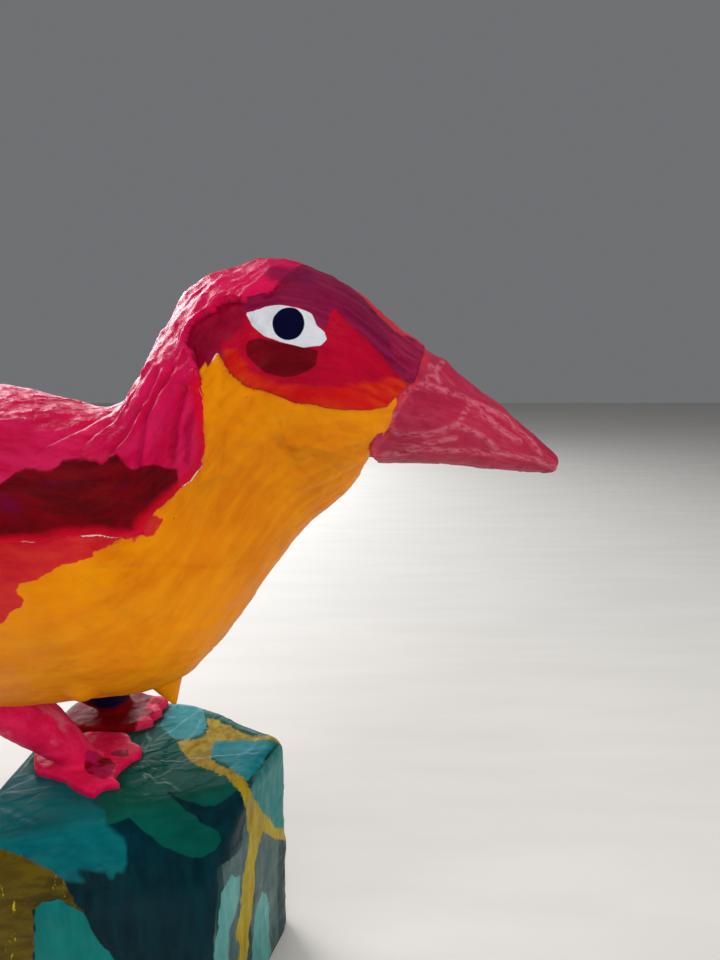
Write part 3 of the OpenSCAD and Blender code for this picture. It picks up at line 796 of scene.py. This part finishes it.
# The block's paint, largely traced from the photo: outlines on a plane that is turned by TURN and
# tilted by TILT, as (across, up) in millimetres
ZONES = {
    "green": [(-17, 62), (-9, 62.3), (-8, 60.5), (-4, 56), (2, 49), (8, 45), (14, 42), (19, 43.5), (21.5, 46),
              (21, 49), (17, 52.5), (11, 58.5), (7.5, 62.5), (5, 66.5), (8, 64.5), (12, 61.5), (17, 58.7),
              (21, 57.8), (25, 58.7), (30, 60), (33, 61.5), (60, 75), (60, 112), (-62, 112), (-66, 88),
              (-50, 84), (-41, 86), (-26, 77), (-17, 66)],
    "teal": [(-54, 66), (-50, 64), (-42, 59), (-35, 52.5), (-31, 48), (-24, 45), (-26, 48), (-27, 51),
             (-23, 49.5), (-18, 47), (-21, 50.5), (-19, 50), (-17.4, 44.5), (-16, 44), (-15, 46), (-13, 45.5),
             (-11, 48), (-11, 52), (-12, 56), (-14.5, 59), (-17, 62), (-17, 66), (-26, 77), (-41, 88),
             (-56, 90), (-62, 74)],
    "turquoise": [(8, 92), (11, 98), (14, 104), (27, 98), (28, 91), (27, 86), (23, 83.5), (18, 83), (12, 85)],
    "turquoise_front": [(24, 76), (28, 80), (39, 79), (54, 73), (35, 62.5), (31, 65), (30, 69), (26, 72)],
    "side_teal": [(36, 60), (55, 74), (60, 58), (54, 37), (47, 38.5), (41, 49), (37, 53.5), (34.5, 58)],
    "slate": [(33, 60), (33, 50), (28, 40), (19, 37), (16, 20), (14, -14), (66, -24), (66, 74), (50, 71)],
    "pale": [(19, 29), (24, 32.5), (28, 30), (27, 21), (22, 13), (21, 2), (20, -14), (13, -14), (15, 6),
             (17, 16)],
    "pale_two": [(37, 14), (40, 17), (43, 14), (44, 7), (43, -1), (43, -18), (31, -16), (32, -6), (34, 5)],
    "gold_top": [(28, 90), (32, 88), (37, 84), (38, 82), (45, 77.5), (56, 75), (54, 72), (42, 76.5), (28, 80),
                 (25, 77), (24, 73), (29, 69), (34, 63), (34, 60), (32, 58), (29, 62), (28, 66), (18, 72),
                 (15, 78), (13, 83), (18, 83), (24, 82), (28, 86)],
    "gold_side": [(31, 63), (34, 62), (36, 56), (40, 51), (45, 45), (49, 39), (60, 34), (60, 29), (48, 35.5),
                  (42, 40.5), (39, 37), (36, 31), (35, 20), (32, 10), (30, -2), (28, -14), (24.5, -14),
                  (26, 4), (25, 9), (27, 17), (30, 30), (33, 40), (33, 51), (31, 59)],
    "olive": [(-50, 65), (-42, 59), (-35, 53), (-31, 49), (-30, 44), (-28, 40), (-27, 37), (-34, 43.5),
              (-42, 42), (-42, 34), (-44, 24), (-48, 8), (-50, -20), (-80, -20), (-80, 70)],
    "leaf": [(-41.5, 42.5), (-39, 43.5), (-34, 43.5), (-32, 42), (-30, 40), (-27, 36), (-25, 30), (-22, 23),
             (-18, 17), (-16, 6), (-20, -4), (-30, -8), (-40, 4), (-44, 24), (-42.5, 35)],
}


def block_piece():
    spacing = 0.82
    around = int(390 / spacing)
    foot_z = node_box("block_base_sheet")[1][2]
    ease = 5.0
    rings = []
    for z in np.linspace(foot_z, BLOCK_TOP - ease, int((BLOCK_TOP - ease - foot_z) / spacing)):
        f = z / BLOCK_TOP
        flare = np.interp(f, [0, 0.45, 0.73, 0.87, 0.97], [1, 1, 0.9, 0.55, 0])
        swell = np.interp(f, [0, 0.45, 0.73, 0.87, 1], [0, 0.8, 0.6, 0.3, 0])
        ring = rounded_ring(block_corners(flare, swell), 7.0, around)
        rings.append(np.column_stack([ring, np.full(around, z)]))
    for a in np.linspace(0, math.pi / 2, 8)[1:]:
        ring = rounded_ring(block_corners(0, -ease * (1 - math.cos(a))), 7.0, around)
        rings.append(np.column_stack([ring, np.full(around, BLOCK_TOP - ease * (1 - math.sin(a)))]))
    last = rings[-1]
    centre = last.mean(axis=0)
    for f in np.linspace(1, 0, int(50 / spacing))[1:]:
        rings.append(centre + (last - centre) * max(f, 1e-4))
    base = np.array(rings)
    normals = grid_normals(base)
    normals[-3:] = [0, 0, 1]
    x, y, z = base[..., 0], base[..., 1], base[..., 2]
    rng = np.random.default_rng(SEED + 3)
    lumps, strokes, rags = Noise(41), Noise(42), Noise(43)
    top = smooth(BLOCK_TOP - 6, BLOCK_TOP - 1, z)
    height = (0.8 - 0.55 * top) * lumps.layered(base, 30.0, 3)
    height += paper_strips(base, normals, rng, 90, 22, 8, 0.2)
    height += (0.16 - 0.12 * top) * strokes.ridged(base * np.array([1, 1, 0.6]), 7.0, 2)
    height *= smooth(0, 1.5, z - foot_z) * 0.9 + 0.1
    feet = np.maximum(inside_distance(x, y, NEAR_FOOT), inside_distance(x, y, FAR_FOOT))
    height -= 0.4 * smooth(-3, 0, feet) * top
    points = base + normals * height[..., None]
    flip = (normals @ np.array([math.sin(TURN) * math.cos(TILT), -math.cos(TURN) * math.cos(TILT),
                                math.sin(TILT)])) < 0
    px, py = np.where(flip, -x, x), np.where(flip, -y, y)
    u = px * math.cos(TURN) + py * math.sin(TURN)
    v = z * math.cos(TILT) + (py * math.cos(TURN) - px * math.sin(TURN)) * math.sin(TILT)
    rag = 0.45 * rags.layered(base, 3.4, 3) + 0.55 * rags.layered(base + 40, 9.0, 2)
    fields = {k: inside_distance(u, v, corners) + rag for k, corners in ZONES.items()}
    names = list(fields)
    per_point = [grid_normals(points).reshape(-1, 3)] + [fields[k].reshape(-1) for k in names]
    per_point[0][-3 * around:] = [0, 0, 1]
    verts, faces, rest = give_wall(points.reshape(-1, 3), per_point[0], grid_faces(*base.shape[:2]),
                                   BLOCK_WALL, *per_point)
    obj = mesh_object("block_paper", verts, faces, dict(zip(names, rest[1:])))
    weld(obj)
    point_outwards(obj)
    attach(obj, "root")
    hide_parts("block_skin")
    return obj


# ---------------------------------------------------------------- materials
class Paint:
    """Builds one node material."""

    def __init__(self, name):
        self.material = bpy.data.materials.new(name)
        self.material.use_nodes = True
        self.tree = self.material.node_tree
        self.tree.nodes.clear()

    def node(self, kind, values=None, **settings):
        made = self.tree.nodes.new(kind)
        for key, value in settings.items():
            setattr(made, key, value)
        for key, value in (values or {}).items():
            socket = made.inputs[key]
            if isinstance(value, bpy.types.NodeSocket):
                self.tree.links.new(value, socket)
            else:
                socket.default_value = value
        return made

    def field(self, name):
        return self.node("ShaderNodeAttribute", attribute_name=name).outputs["Fac"]

    def vector_field(self, name):
        return self.node("ShaderNodeAttribute", attribute_name=name).outputs["Vector"]

    def place(self):
        return self.node("ShaderNodeTexCoord").outputs["Object"]

    def stretch(self, vector, scale, turn=(0, 0, 0)):
        values = {"Vector": vector, "Scale": scale, "Rotation": turn}
        return self.node("ShaderNodeMapping", values).outputs[0]

    def noise(self, vector, scale, detail=4.0, rough=0.55, distort=0.0):
        return self.node("ShaderNodeTexNoise", {
            "Vector": vector, "Scale": scale, "Detail": detail, "Roughness": rough, "Distortion": distort,
        }).outputs["Fac"]

    def cells(self, vector, scale, feature="F1"):
        return self.node("ShaderNodeTexVoronoi", {"Vector": vector, "Scale": scale},
                         feature=feature).outputs["Distance"]

    def math(self, operation, a, b=0.0):
        return self.node("ShaderNodeMath", {0: a, 1: b}, operation=operation).outputs[0]

    def ramp(self, value, low, high, to_low=0.0, to_high=1.0):
        return self.node("ShaderNodeMapRange", {
            "Value": value, "From Min": low, "From Max": high, "To Min": to_low, "To Max": to_high,
        }, interpolation_type="SMOOTHSTEP").outputs[0]

    def mix(self, a, b, factor):
        made = self.node("ShaderNodeMix", {"Factor": factor}, data_type="RGBA")
        for value, socket in ((a, made.inputs[6]), (b, made.inputs[7])):
            if isinstance(value, bpy.types.NodeSocket):
                self.tree.links.new(value, socket)
            else:
                socket.default_value = (*value, 1.0)
        return made.outputs[2]

    def both(self, a, b):
        return self.math("MULTIPLY", a, b)

    def bump(self, height, strength, distance, under=None):
        values = {"Height": height, "Strength": strength, "Distance": distance}
        if under is not None:
            values["Normal"] = under
        return self.node("ShaderNodeBump", values).outputs[0]

    def finish(self, colour, roughness, normal, coat=0.0, coat_roughness=0.2, metallic=0.0, level=0.3):
        shader = self.node("ShaderNodeBsdfPrincipled", {
            "Base Color": colour if isinstance(colour, bpy.types.NodeSocket) else (*colour, 1.0),
            "Roughness": roughness, "Normal": normal, "Coat Weight": coat,
            "Coat Roughness": coat_roughness, "Metallic": metallic, "Specular IOR Level": level,
        })
        out = self.node("ShaderNodeOutputMaterial")
        self.tree.links.new(shader.outputs[0], out.inputs[0])
        return self.material


def srgb(r, g, b):
    """A colour given as 0 to 255, as a painter's chart gives it."""
    return tuple((c / 255 / 12.92) if c / 255 <= 0.04045 else ((c / 255 + 0.055) / 1.055) ** 2.4
                 for c in (r, g, b))


def brushed(paint, base, dark, light, vector, scale=240.0, squeeze=(0.12, 1.0, 1.0)):
    """A hand-painted colour: broad clouds with fine streaks of the brush."""
    clouds = paint.ramp(paint.noise(paint.place(), 26.0, 3.0), 0.35, 0.68)
    streaks = paint.ramp(paint.noise(paint.stretch(vector, squeeze), scale, 5.0, 0.6), 0.36, 0.66)
    colour = paint.mix(base, dark, paint.both(clouds, 0.75))
    return paint.mix(colour, light, paint.both(streaks, 0.36))


def paper_bump(paint, vector, strength=0.5):
    """Pulp tooth, brush ridges and small crinkles in one height."""
    tooth = paint.noise(paint.place(), 1500.0, 3.0)
    ridges = paint.noise(paint.stretch(vector, (0.1, 1.0, 1.0)), 900.0, 4.0, 0.6)
    crinkle = paint.noise(paint.place(), 260.0, 5.0, 0.62, 0.4)
    height = paint.math("ADD", paint.both(tooth, 0.25), paint.both(ridges, 0.5))
    height = paint.math("ADD", height, paint.both(crinkle, 1.3))
    return paint.bump(height, strength, 0.00055)


def edge(paint, name, soft=0.22, shift=0.0):
    """1 inside a painted outline and 0 outside it, with a crisp edge."""
    return paint.ramp(paint.field(name), shift - soft, shift + soft)


def ragged_field(paint, name, grain, amount):
    """A painted outline's field with its edge broken up by a noise from 0 to 1."""
    centred = paint.math("SUBTRACT", grain, 0.5)
    return paint.math("ADD", paint.field(name), paint.math("MULTIPLY", centred, amount))


def yellow_material():
    p = Paint("yellow_acrylic")
    flow = p.vector_field("flow")
    colour = brushed(p, srgb(238, 138, 0), srgb(210, 110, 0), srgb(248, 166, 8), flow, 210.0)
    streak = p.ramp(p.noise(p.stretch(flow, (0.18, 1.0, 1.0), (0, 0, 0.5)), 420.0, 4.0, 0.62), 0.55, 0.78)
    colour = p.mix(colour, srgb(226, 160, 20), p.both(streak, 0.5))
    patches = p.ramp(p.noise(p.place(), 46.0, 3.0, 0.5, 0.6), 0.60, 0.72)
    colour = p.mix(colour, srgb(200, 120, 4), p.both(patches, 0.45))
    specks = p.ramp(p.cells(p.place(), 330.0), 0.10, 0.05)
    rare = p.ramp(p.noise(p.place(), 90.0, 2.0), 0.56, 0.62)
    colour = p.mix(colour, srgb(150, 52, 10), p.both(specks, p.both(rare, 0.8)))
    # bare newsprint shows through thin paint in a few spots
    thin = p.ramp(p.noise(p.stretch(p.place(), (0.5, 1, 1.3)), 75.0, 5.0, 0.6), 0.735, 0.76)
    colour = p.mix(colour, srgb(225, 170, 120), p.both(thin, 0.6))
    red = brushed(p, srgb(205, 28, 44), srgb(180, 14, 34), srgb(225, 70, 40), flow, 260.0)
    streaked = ragged_field(p, "coral", p.noise(p.stretch(flow, (0.12, 1, 1)), 420.0, 4.0), 7.0)
    colour = p.mix(colour, red, p.ramp(streaked, -0.25, 0.35))
    rough = p.ramp(p.noise(p.place(), 180.0, 4.0), 0.3, 0.7, 0.40, 0.56)
    return p.finish(colour, rough, paper_bump(p, flow, 0.42), coat=0.03, coat_roughness=0.3, level=0.12)


def red_material():
    p = Paint("crimson_acrylic")
    flow = p.vector_field("flow")
    hood = brushed(p, srgb(216, 2, 74), srgb(176, 0, 50), srgb(232, 40, 112), flow, 230.0)
    wing = brushed(p, srgb(108, 0, 8), srgb(66, 0, 8), srgb(150, 0, 14), flow, 200.0)
    violet = p.ramp(p.noise(p.stretch(flow, (0.4, 1, 1)), 110.0, 4.0), 0.55, 0.72)
    wing = p.mix(wing, srgb(104, 0, 56), p.both(violet, 0.7))
    colour = p.mix(hood, wing, edge(p, "wing", 0.5))
    rim = p.both(p.ramp(p.field("hood"), 4.2, 0.6), 0.85)
    colour = p.mix(colour, srgb(210, 0, 36), rim)
    # the recess beside the hood's lip is dark crimson paint, made darker still as painted shade cast by the
    # lip
    recess = brushed(p, srgb(142, 0, 40), srgb(104, 0, 26), srgb(182, 16, 60), flow, 280.0)
    colour = p.mix(colour, recess, edge(p, "recess", 0.3, 0.15))
    cheek = brushed(p, srgb(186, 0, 42), srgb(156, 0, 38), srgb(204, 6, 40), flow, 260.0)
    orange = brushed(p, srgb(206, 22, 16), srgb(190, 4, 20), srgb(226, 80, 10), flow, 300.0)
    low = ragged_field(p, "low_cheek", p.noise(p.stretch(flow, (0.25, 1, 1)), 300.0, 4.0), 6.0)
    cheek = p.mix(cheek, orange, p.ramp(low, -0.6, 1.8))
    colour = p.mix(colour, cheek, p.both(edge(p, "cheek", 1.6), edge(p, "recess", 0.3, 0.15)))
    long_strokes = p.stretch(flow, (0.4, 1, 1))
    plum = brushed(p, srgb(126, 6, 56), srgb(86, 0, 38), srgb(166, 40, 92), long_strokes, 330.0)
    rosy = p.ramp(p.noise(p.stretch(flow, (0.12, 1, 1)), 280.0, 5.0, 0.6), 0.5, 0.62)
    plum = p.mix(plum, srgb(150, 20, 66), p.both(rosy, 0.8))
    colour = p.mix(colour, plum, edge(p, "plum", 0.25))
    colour = p.mix(colour, srgb(104, 10, 62), p.both(edge(p, "crown_patch", 1.6), 0.7))
    flap = brushed(p, srgb(152, 14, 64), srgb(104, 0, 36), srgb(186, 50, 96), flow, 300.0)
    colour = p.mix(colour, flap, edge(p, "nose_flap", 0.3))
    # painted highlight: the top of the brow roll, which faces the light, is painted a lighter coral red
    strip = brushed(p, srgb(210, 44, 62), srgb(176, 14, 56), srgb(228, 84, 78), flow, 260.0)
    colour = p.mix(colour, strip, edge(p, "strip", 0.8))
    shade = brushed(p, srgb(112, 0, 16), srgb(88, 0, 12), srgb(150, 4, 26), flow, 260.0)
    colour = p.mix(colour, shade, edge(p, "under_eye", 0.25))
    colour = p.mix(colour, srgb(222, 224, 232), edge(p, "eye", 0.14))
    colour = p.mix(colour, srgb(0, 2, 40), edge(p, "pupil", 0.14))
    # a hair of white paper shows where the torn edge was not painted
    torn = p.both(p.ramp(p.field("hood"), -0.6, -0.1), p.ramp(p.field("hood"), 0.42, 0.2))
    gaps = p.ramp(p.noise(p.place(), 70.0, 3.0), 0.50, 0.58)
    colour = p.mix(colour, srgb(240, 232, 224), p.both(torn, gaps))
    rough = p.ramp(p.noise(p.place(), 200.0, 4.0), 0.3, 0.7, 0.30, 0.46)
    return p.finish(colour, rough, paper_bump(p, flow, 1.0), coat=0.08, coat_roughness=0.24, level=0.12)


def rose_material():
    p = Paint("rose_acrylic")
    flow = p.vector_field("flow")
    colour = brushed(p, srgb(180, 36, 70), srgb(148, 14, 50), srgb(202, 72, 98), flow, 330.0)
    broad = p.ramp(p.noise(p.place(), 120.0, 4.0, 0.6, 0.8), 0.45, 0.7)
    colour = p.mix(colour, srgb(170, 30, 66), p.both(broad, 0.6))
    # painted highlight: pale pink along the ridge and the folds, where the raised paper catches the light
    fold_highlight_mask = p.ramp(p.field("edges"), 1.7, 0.1)
    dry = p.ramp(p.noise(p.stretch(flow, (0.5, 1, 1)), 520.0, 4.0, 0.65), 0.38, 0.6)
    colour = p.mix(colour, srgb(222, 124, 142), p.both(fold_highlight_mask, p.both(dry, 0.55)))
    veil = p.ramp(p.noise(p.stretch(flow, (0.12, 1, 1)), 300.0, 5.0, 0.6), 0.56, 0.75)
    colour = p.mix(colour, srgb(212, 104, 126), p.both(veil, 0.45))
    seam = p.ramp(p.field("area"), 4.5, 1.2)
    patch = p.ramp(p.noise(p.place(), 170.0, 3.0), 0.42, 0.55)
    colour = p.mix(colour, srgb(208, 46, 62), p.both(seam, p.both(patch, 0.8)))
    torn = p.both(p.ramp(p.field("area"), -0.7, -0.45), p.ramp(p.field("area"), 0.0, -0.25))
    gaps = p.ramp(p.noise(p.place(), 150.0, 3.0), 0.56, 0.62)
    colour = p.mix(colour, srgb(236, 222, 214), p.both(torn, gaps))
    rough = p.ramp(p.noise(p.place(), 200.0, 4.0), 0.3, 0.7, 0.42, 0.58)
    return p.finish(colour, rough, paper_bump(p, flow, 0.6), coat=0.03, coat_roughness=0.3, level=0.15)


def tail_material():
    p = Paint("tail_acrylic")
    flow = p.vector_field("flow")
    colour = brushed(p, srgb(190, 14, 56), srgb(150, 4, 40), srgb(216, 44, 80), flow, 260.0, (0.15, 1, 1))
    ragged = ragged_field(p, "feather", p.noise(p.place(), 300.0, 4.0), 3.0)
    dark = p.both(p.ramp(ragged, 2.4, 1.2), p.ramp(p.field("along"), 18.0, 30.0))
    colour = p.mix(colour, srgb(104, 0, 14), dark)
    colour = p.mix(colour, brushed(p, srgb(214, 46, 40), srgb(190, 24, 40), srgb(232, 96, 50), flow),
                   p.ramp(p.field("under"), -0.3, 0.3))
    return p.finish(colour, 0.42, paper_bump(p, flow, 0.55), coat=0.06, coat_roughness=0.26)


def pink_material():
    p = Paint("pink_acrylic")
    place = p.stretch(p.place(), (0.35, 1, 0.6), (0, 0, 0.35))
    colour = brushed(p, srgb(226, 16, 78), srgb(196, 6, 62), srgb(236, 52, 104), place, 300.0, (1, 1, 1))
    worn = p.ramp(p.noise(place, 130.0, 5.0, 0.62), 0.55, 0.70)
    colour = p.mix(colour, srgb(204, 96, 118), p.both(worn, 0.75))
    nail = p.ramp(p.field("nail"), -0.2, 0.2)
    nails = p.mix(srgb(122, 0, 8), srgb(168, 18, 76), p.ramp(p.noise(p.place(), 90.0, 2.0), 0.52, 0.6))
    colour = p.mix(colour, nails, nail)
    rough = p.ramp(p.noise(p.place(), 220.0, 4.0), 0.3, 0.7, 0.32, 0.5)
    return p.finish(colour, rough, paper_bump(p, place, 0.55), coat=0.03, coat_roughness=0.25, level=0.12)


def far_leg_and_painted_shade_material():
    p = Paint("dark_red_acrylic_and_painted_shade")
    place = p.stretch(p.place(), (0.35, 1, 0.6), (0, 0, 0.35))
    pink = brushed(p, srgb(222, 24, 80), srgb(190, 8, 62), srgb(224, 92, 122), place, 300.0, (1, 1, 1))
    nail = p.ramp(p.field("nail"), -0.2, 0.2)
    colour = p.mix(pink, srgb(150, 6, 40), nail)
    # dark red paint deepened as painted shade: the far leg and the back of the far foot lie in shadow under
    # the belly
    dark = brushed(p, srgb(116, 0, 8), srgb(78, 0, 8), srgb(150, 10, 10), place, 240.0, (1, 1, 1))
    dab = p.both(p.ramp(p.field("front"), 2.0, 4.0), p.ramp(p.field("lift"), 6.0, 8.0))
    dab = p.both(dab, p.ramp(p.field("lift"), 15.0, 13.0))
    dark = p.mix(dark, srgb(14, 8, 48), dab)
    # behind its toes the far foot and the far leg take this dark red with painted shade
    colour = p.mix(colour, dark, p.ramp(p.field("reach"), -9.0, -11.0))
    rough = p.ramp(p.noise(p.place(), 220.0, 4.0), 0.3, 0.7, 0.46, 0.62)
    return p.finish(colour, rough, paper_bump(p, place, 0.55), coat=0.0, level=0.12)


def block_material():
    p = Paint("block_acrylic")
    place = p.place()
    upright = p.stretch(place, (1, 1, 0.16))
    lying = p.stretch(place, (0.3, 1, 1), (0.3, 0.2, 0.5))

    def zone(name, soft=0.25, shift=0.0, dry=0.0):
        value = p.field(name)
        if dry:
            value = ragged_field(p, name, p.noise(upright, 700.0, 5.0, 0.65), dry)
        return p.ramp(value, shift - soft, shift + soft)

    navy = brushed(p, srgb(0, 38, 48), srgb(0, 26, 34), srgb(2, 58, 66), upright, 260.0, (1, 1, 1))
    green = brushed(p, srgb(0, 78, 66), srgb(0, 62, 54), srgb(6, 96, 84), lying, 200.0, (1, 1, 1))
    teal = brushed(p, srgb(0, 96, 102), srgb(0, 76, 84), srgb(20, 122, 128), lying, 220.0, (1, 1, 1))
    turquoise = brushed(p, srgb(8, 124, 128), srgb(0, 98, 108), srgb(80, 160, 168), lying, 180.0, (1, 1, 1))
    side_teal = brushed(p, srgb(28, 118, 116), srgb(20, 92, 94), srgb(92, 140, 128), upright, 260.0,
                        (1, 1, 1))
    slate = brushed(p, srgb(66, 92, 90), srgb(16, 56, 58), srgb(104, 124, 116), upright, 330.0, (1, 1, 1))
    strips = p.ramp(p.noise(p.stretch(place, (1, 1, 0.03)), 95.0, 2.0), 0.5, 0.56)
    slate = p.mix(slate, srgb(18, 52, 54), p.both(strips, 0.85))
    pale = brushed(p, srgb(84, 150, 146), srgb(50, 120, 120), srgb(124, 178, 168), upright, 330.0, (1, 1, 1))
    gold = brushed(p, srgb(156, 134, 24), srgb(112, 88, 8), srgb(196, 180, 52), upright, 300.0, (1, 1, 1))
    fleck = p.ramp(p.noise(place, 420.0, 5.0, 0.65), 0.62, 0.72)
    gold = p.mix(gold, srgb(186, 180, 150), p.both(fleck, 0.6))
    olive = brushed(p, srgb(84, 66, 10), srgb(52, 44, 10), srgb(128, 108, 14), lying, 240.0, (1, 1, 1))
    scratch = p.ramp(p.noise(p.stretch(place, (1, 1, 0.25), (0, 0.5, 0)), 420.0, 5.0, 0.7), 0.6, 0.68)
    olive = p.mix(olive, srgb(206, 186, 22), p.both(scratch, 0.85))
    leaf = brushed(p, srgb(0, 118, 112), srgb(0, 96, 96), srgb(28, 142, 136), upright, 160.0, (1, 1, 1))

    colour = p.mix(navy, slate, zone("slate", 0.3))
    colour = p.mix(colour, pale, zone("pale", 0.25, 0, 2.0))
    colour = p.mix(colour, pale, zone("pale_two", 0.25, 0, 2.0))
    colour = p.mix(colour, side_teal, zone("side_teal", 0.3))
    colour = p.mix(colour, olive, zone("olive", 0.3, 0, 2.0))
    colour = p.mix(colour, leaf, zone("leaf"))
    colour = p.mix(colour, green, zone("green", 0.3))
    colour = p.mix(colour, teal, zone("teal", 0.9))
    colour = p.mix(colour, turquoise, zone("turquoise", 0.5, 0, 2.0))
    colour = p.mix(colour, turquoise, zone("turquoise_front", 0.5, 0, 2.0))
    colour = p.mix(colour, gold, zone("gold_side", 0.35, 0, 3.0))
    colour = p.mix(colour, gold, zone("gold_top", 0.35, 0, 3.0))
    wet = p.ramp(p.noise(place, 150.0, 4.0), 0.35, 0.65, 0.30, 0.50)
    tooth = p.noise(place, 1300.0, 3.0)
    bristle = p.noise(p.stretch(place, (1, 1, 0.2), (0.2, 0.4, 0.3)), 700.0, 5.0, 0.65)
    crinkle = p.noise(place, 230.0, 5.0, 0.62, 0.6)
    height = p.math("ADD", p.both(tooth, 0.2), p.math("ADD", p.both(bristle, 0.5), p.both(crinkle, 0.8)))
    return p.finish(colour, wet, p.bump(height, 0.35, 0.0005), coat=0.03, coat_roughness=0.2, level=0.08)


def newspaper_material():
    p = Paint("newspaper")
    grey = p.ramp(p.noise(p.stretch(p.place(), (1, 1, 3)), 420.0, 4.0), 0.42, 0.6)
    colour = p.mix(srgb(214, 208, 194), srgb(150, 146, 138), p.both(grey, 0.7))
    folds = p.cells(p.place(), 90.0)
    return p.finish(colour, 0.85, p.bump(folds, 0.5, 0.001))


def card_material():
    p = Paint("rolled_card")
    fibres = p.ramp(p.noise(p.stretch(p.place(), (0.2, 1, 1)), 600.0, 4.0), 0.4, 0.65)
    colour = p.mix(srgb(184, 152, 108), srgb(152, 120, 80), fibres)
    return p.finish(colour, 0.8, p.bump(fibres, 0.2, 0.0003))


def tape_material():
    p = Paint("masking_tape")
    crepe = p.noise(p.stretch(p.place(), (1, 0.3, 3)), 500.0, 3.0)
    colour = p.mix(srgb(220, 196, 142), srgb(202, 174, 116), p.ramp(crepe, 0.4, 0.65))
    return p.finish(colour, 0.6, p.bump(crepe, 0.4, 0.0004))


def wood_material():
    p = Paint("softwood")
    rings = p.noise(p.stretch(p.place(), (0.15, 1, 1)), 160.0, 4.0, 0.5, 1.2)
    colour = p.mix(srgb(200, 160, 108), srgb(160, 116, 70), p.ramp(rings, 0.4, 0.65))
    return p.finish(colour, 0.7, p.bump(rings, 0.2, 0.0004))


def wire_material():
    p = Paint("steel_wire")
    drawn = p.ramp(p.noise(p.stretch(p.place(), (1, 1, 0.1)), 900.0, 3.0), 0.4, 0.6)
    colour = p.mix(srgb(150, 150, 152), srgb(118, 118, 122), drawn)
    return p.finish(colour, 0.35, p.bump(drawn, 0.1, 0.0001), metallic=1.0)


def underside_material():
    p = Paint("block_underside")
    place = p.place()
    along = p.stretch(place, (0.2, 1, 1))
    colour = brushed(p, srgb(0, 52, 58), srgb(0, 34, 42), srgb(30, 84, 84), along, 260.0, (1, 1, 1))
    bare = p.ramp(p.noise(place, 60.0, 4.0), 0.58, 0.68)
    colour = p.mix(colour, srgb(176, 168, 150), p.both(bare, 0.7))
    return p.finish(colour, 0.6, p.bump(p.noise(place, 600.0, 4.0), 0.4, 0.0004))


def paint_object(obj, material):
    obj.data.materials.clear()
    obj.data.materials.append(material)


def paint_node(name, material):
    """Gives a CAD node that stays in the model a better material."""
    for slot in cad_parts[name].material_slots:
        slot.material = material


# ---------------------------------------------------------------- floor, light and camera
def make_stage():
    mesh = bpy.data.meshes.new("floor")
    reach = 3.0
    mesh.from_pydata([(-reach, -reach, 0), (reach, -reach, 0), (reach, reach, 0), (-reach, reach, 0)],
                     [], [(0, 1, 2, 3)])
    floor = bpy.data.objects.new("floor", mesh)
    bpy.context.scene.collection.objects.link(floor)
    p = Paint("pale_floor")
    tone = p.ramp(p.noise(p.stretch(p.place(), (1, 6, 1)), 6.0, 4.0), 0.3, 0.7)
    colour = p.mix(srgb(216, 212, 206), srgb(211, 207, 200), tone)
    floor.data.materials.append(p.finish(colour, 0.65, p.bump(p.noise(p.place(), 400.0), 0.05, 0.0004)))


def make_light(name, place, target, size, power, colour=(1, 1, 1), glossy=True):
    light = bpy.data.lights.new(name, "AREA")
    light.shape = "RECTANGLE"
    light.size, light.size_y = size
    light.energy = power
    light.color = colour
    obj = bpy.data.objects.new(name, light)
    obj.location = place
    obj.visible_glossy = glossy
    obj.rotation_euler = (Vector(target) - Vector(place)).to_track_quat("-Z", "Y").to_euler()
    bpy.context.scene.collection.objects.link(obj)


def make_lights():
    head = (0.03, 0.01, 0.24)
    make_light("window", (-0.95, 0.85, 0.95), head, (0.8, 0.6), 24.0, (0.93, 0.96, 1.0))
    make_light("low_window", (-0.45, 1.3, 0.42), head, (1.1, 0.35), 8.0, (0.93, 0.96, 1.0))
    make_light("right", (1.15, -0.75, 0.65), head, (0.8, 0.8), 10.0, (1.0, 0.985, 0.96), False)
    make_light("above", (0.1, -0.5, 1.4), head, (0.9, 0.9), 5.0, (1, 1, 1), False)
    make_light("left", (-1.0, -0.9, 0.6), head, (0.5, 0.5), 4.0, (1, 1, 1), False)
    world = bpy.data.worlds.new("studio")
    world.use_nodes = True
    world.node_tree.nodes["Background"].inputs[0].default_value = (0.80, 0.82, 0.86, 1)
    world.node_tree.nodes["Background"].inputs[1].default_value = 0.2
    bpy.context.scene.world = world


def make_camera():
    """A wide lens close to the bird, tilted 12 degrees down; picked to match the photo."""
    camera = bpy.data.cameras.new("camera")
    camera.sensor_width = 36
    camera.lens = 22.5
    camera.clip_start = 0.01
    obj = bpy.data.objects.new("camera", camera)
    obj.location = (0.0895, -0.221, 0.264)
    obj.rotation_euler = (math.radians(90 - 12), 0, 0)
    bpy.context.scene.collection.objects.link(obj)
    bpy.context.scene.camera = obj


make_camera()
make_stage()
make_lights()
bpy.context.scene.view_settings.view_transform = "Standard"
belly, mantle = bird_pieces()
paint_object(belly, yellow_material())
paint_object(mantle, red_material())
paint_object(beak_piece(), rose_material())
paint_object(tail_piece(), tail_material())
near_foot = foot_piece("foot_near_paper", NEAR_FOOT, NEAR_LEG, NEAR_NAILS,
                       ("foot_right", "leg_wrap_right"), 51)
far_foot = foot_piece("foot_far_paper", FAR_FOOT, FAR_LEG, FAR_NAILS, ("foot_left", "leg_wrap_left"), 61)
paint_object(near_foot, pink_material())
paint_object(far_foot, far_leg_and_painted_shade_material())
paint_object(block_piece(), block_material())

newspaper = newspaper_material()
for name in ("body_core", "head_core", "beak_plug", "rump_plug"):
    paint_node(name, newspaper)
wire = wire_material()
for name in ("leg_wire_left", "leg_wire_right", "neck_wire"):
    paint_node(name, wire)
card = card_material()
for name in ("beak_cone", "tail_card"):
    paint_node(name, card)
paint_node("neck_tape", tape_material())
paint_node("block_core", wood_material())
paint_node("block_base_sheet", underside_material())
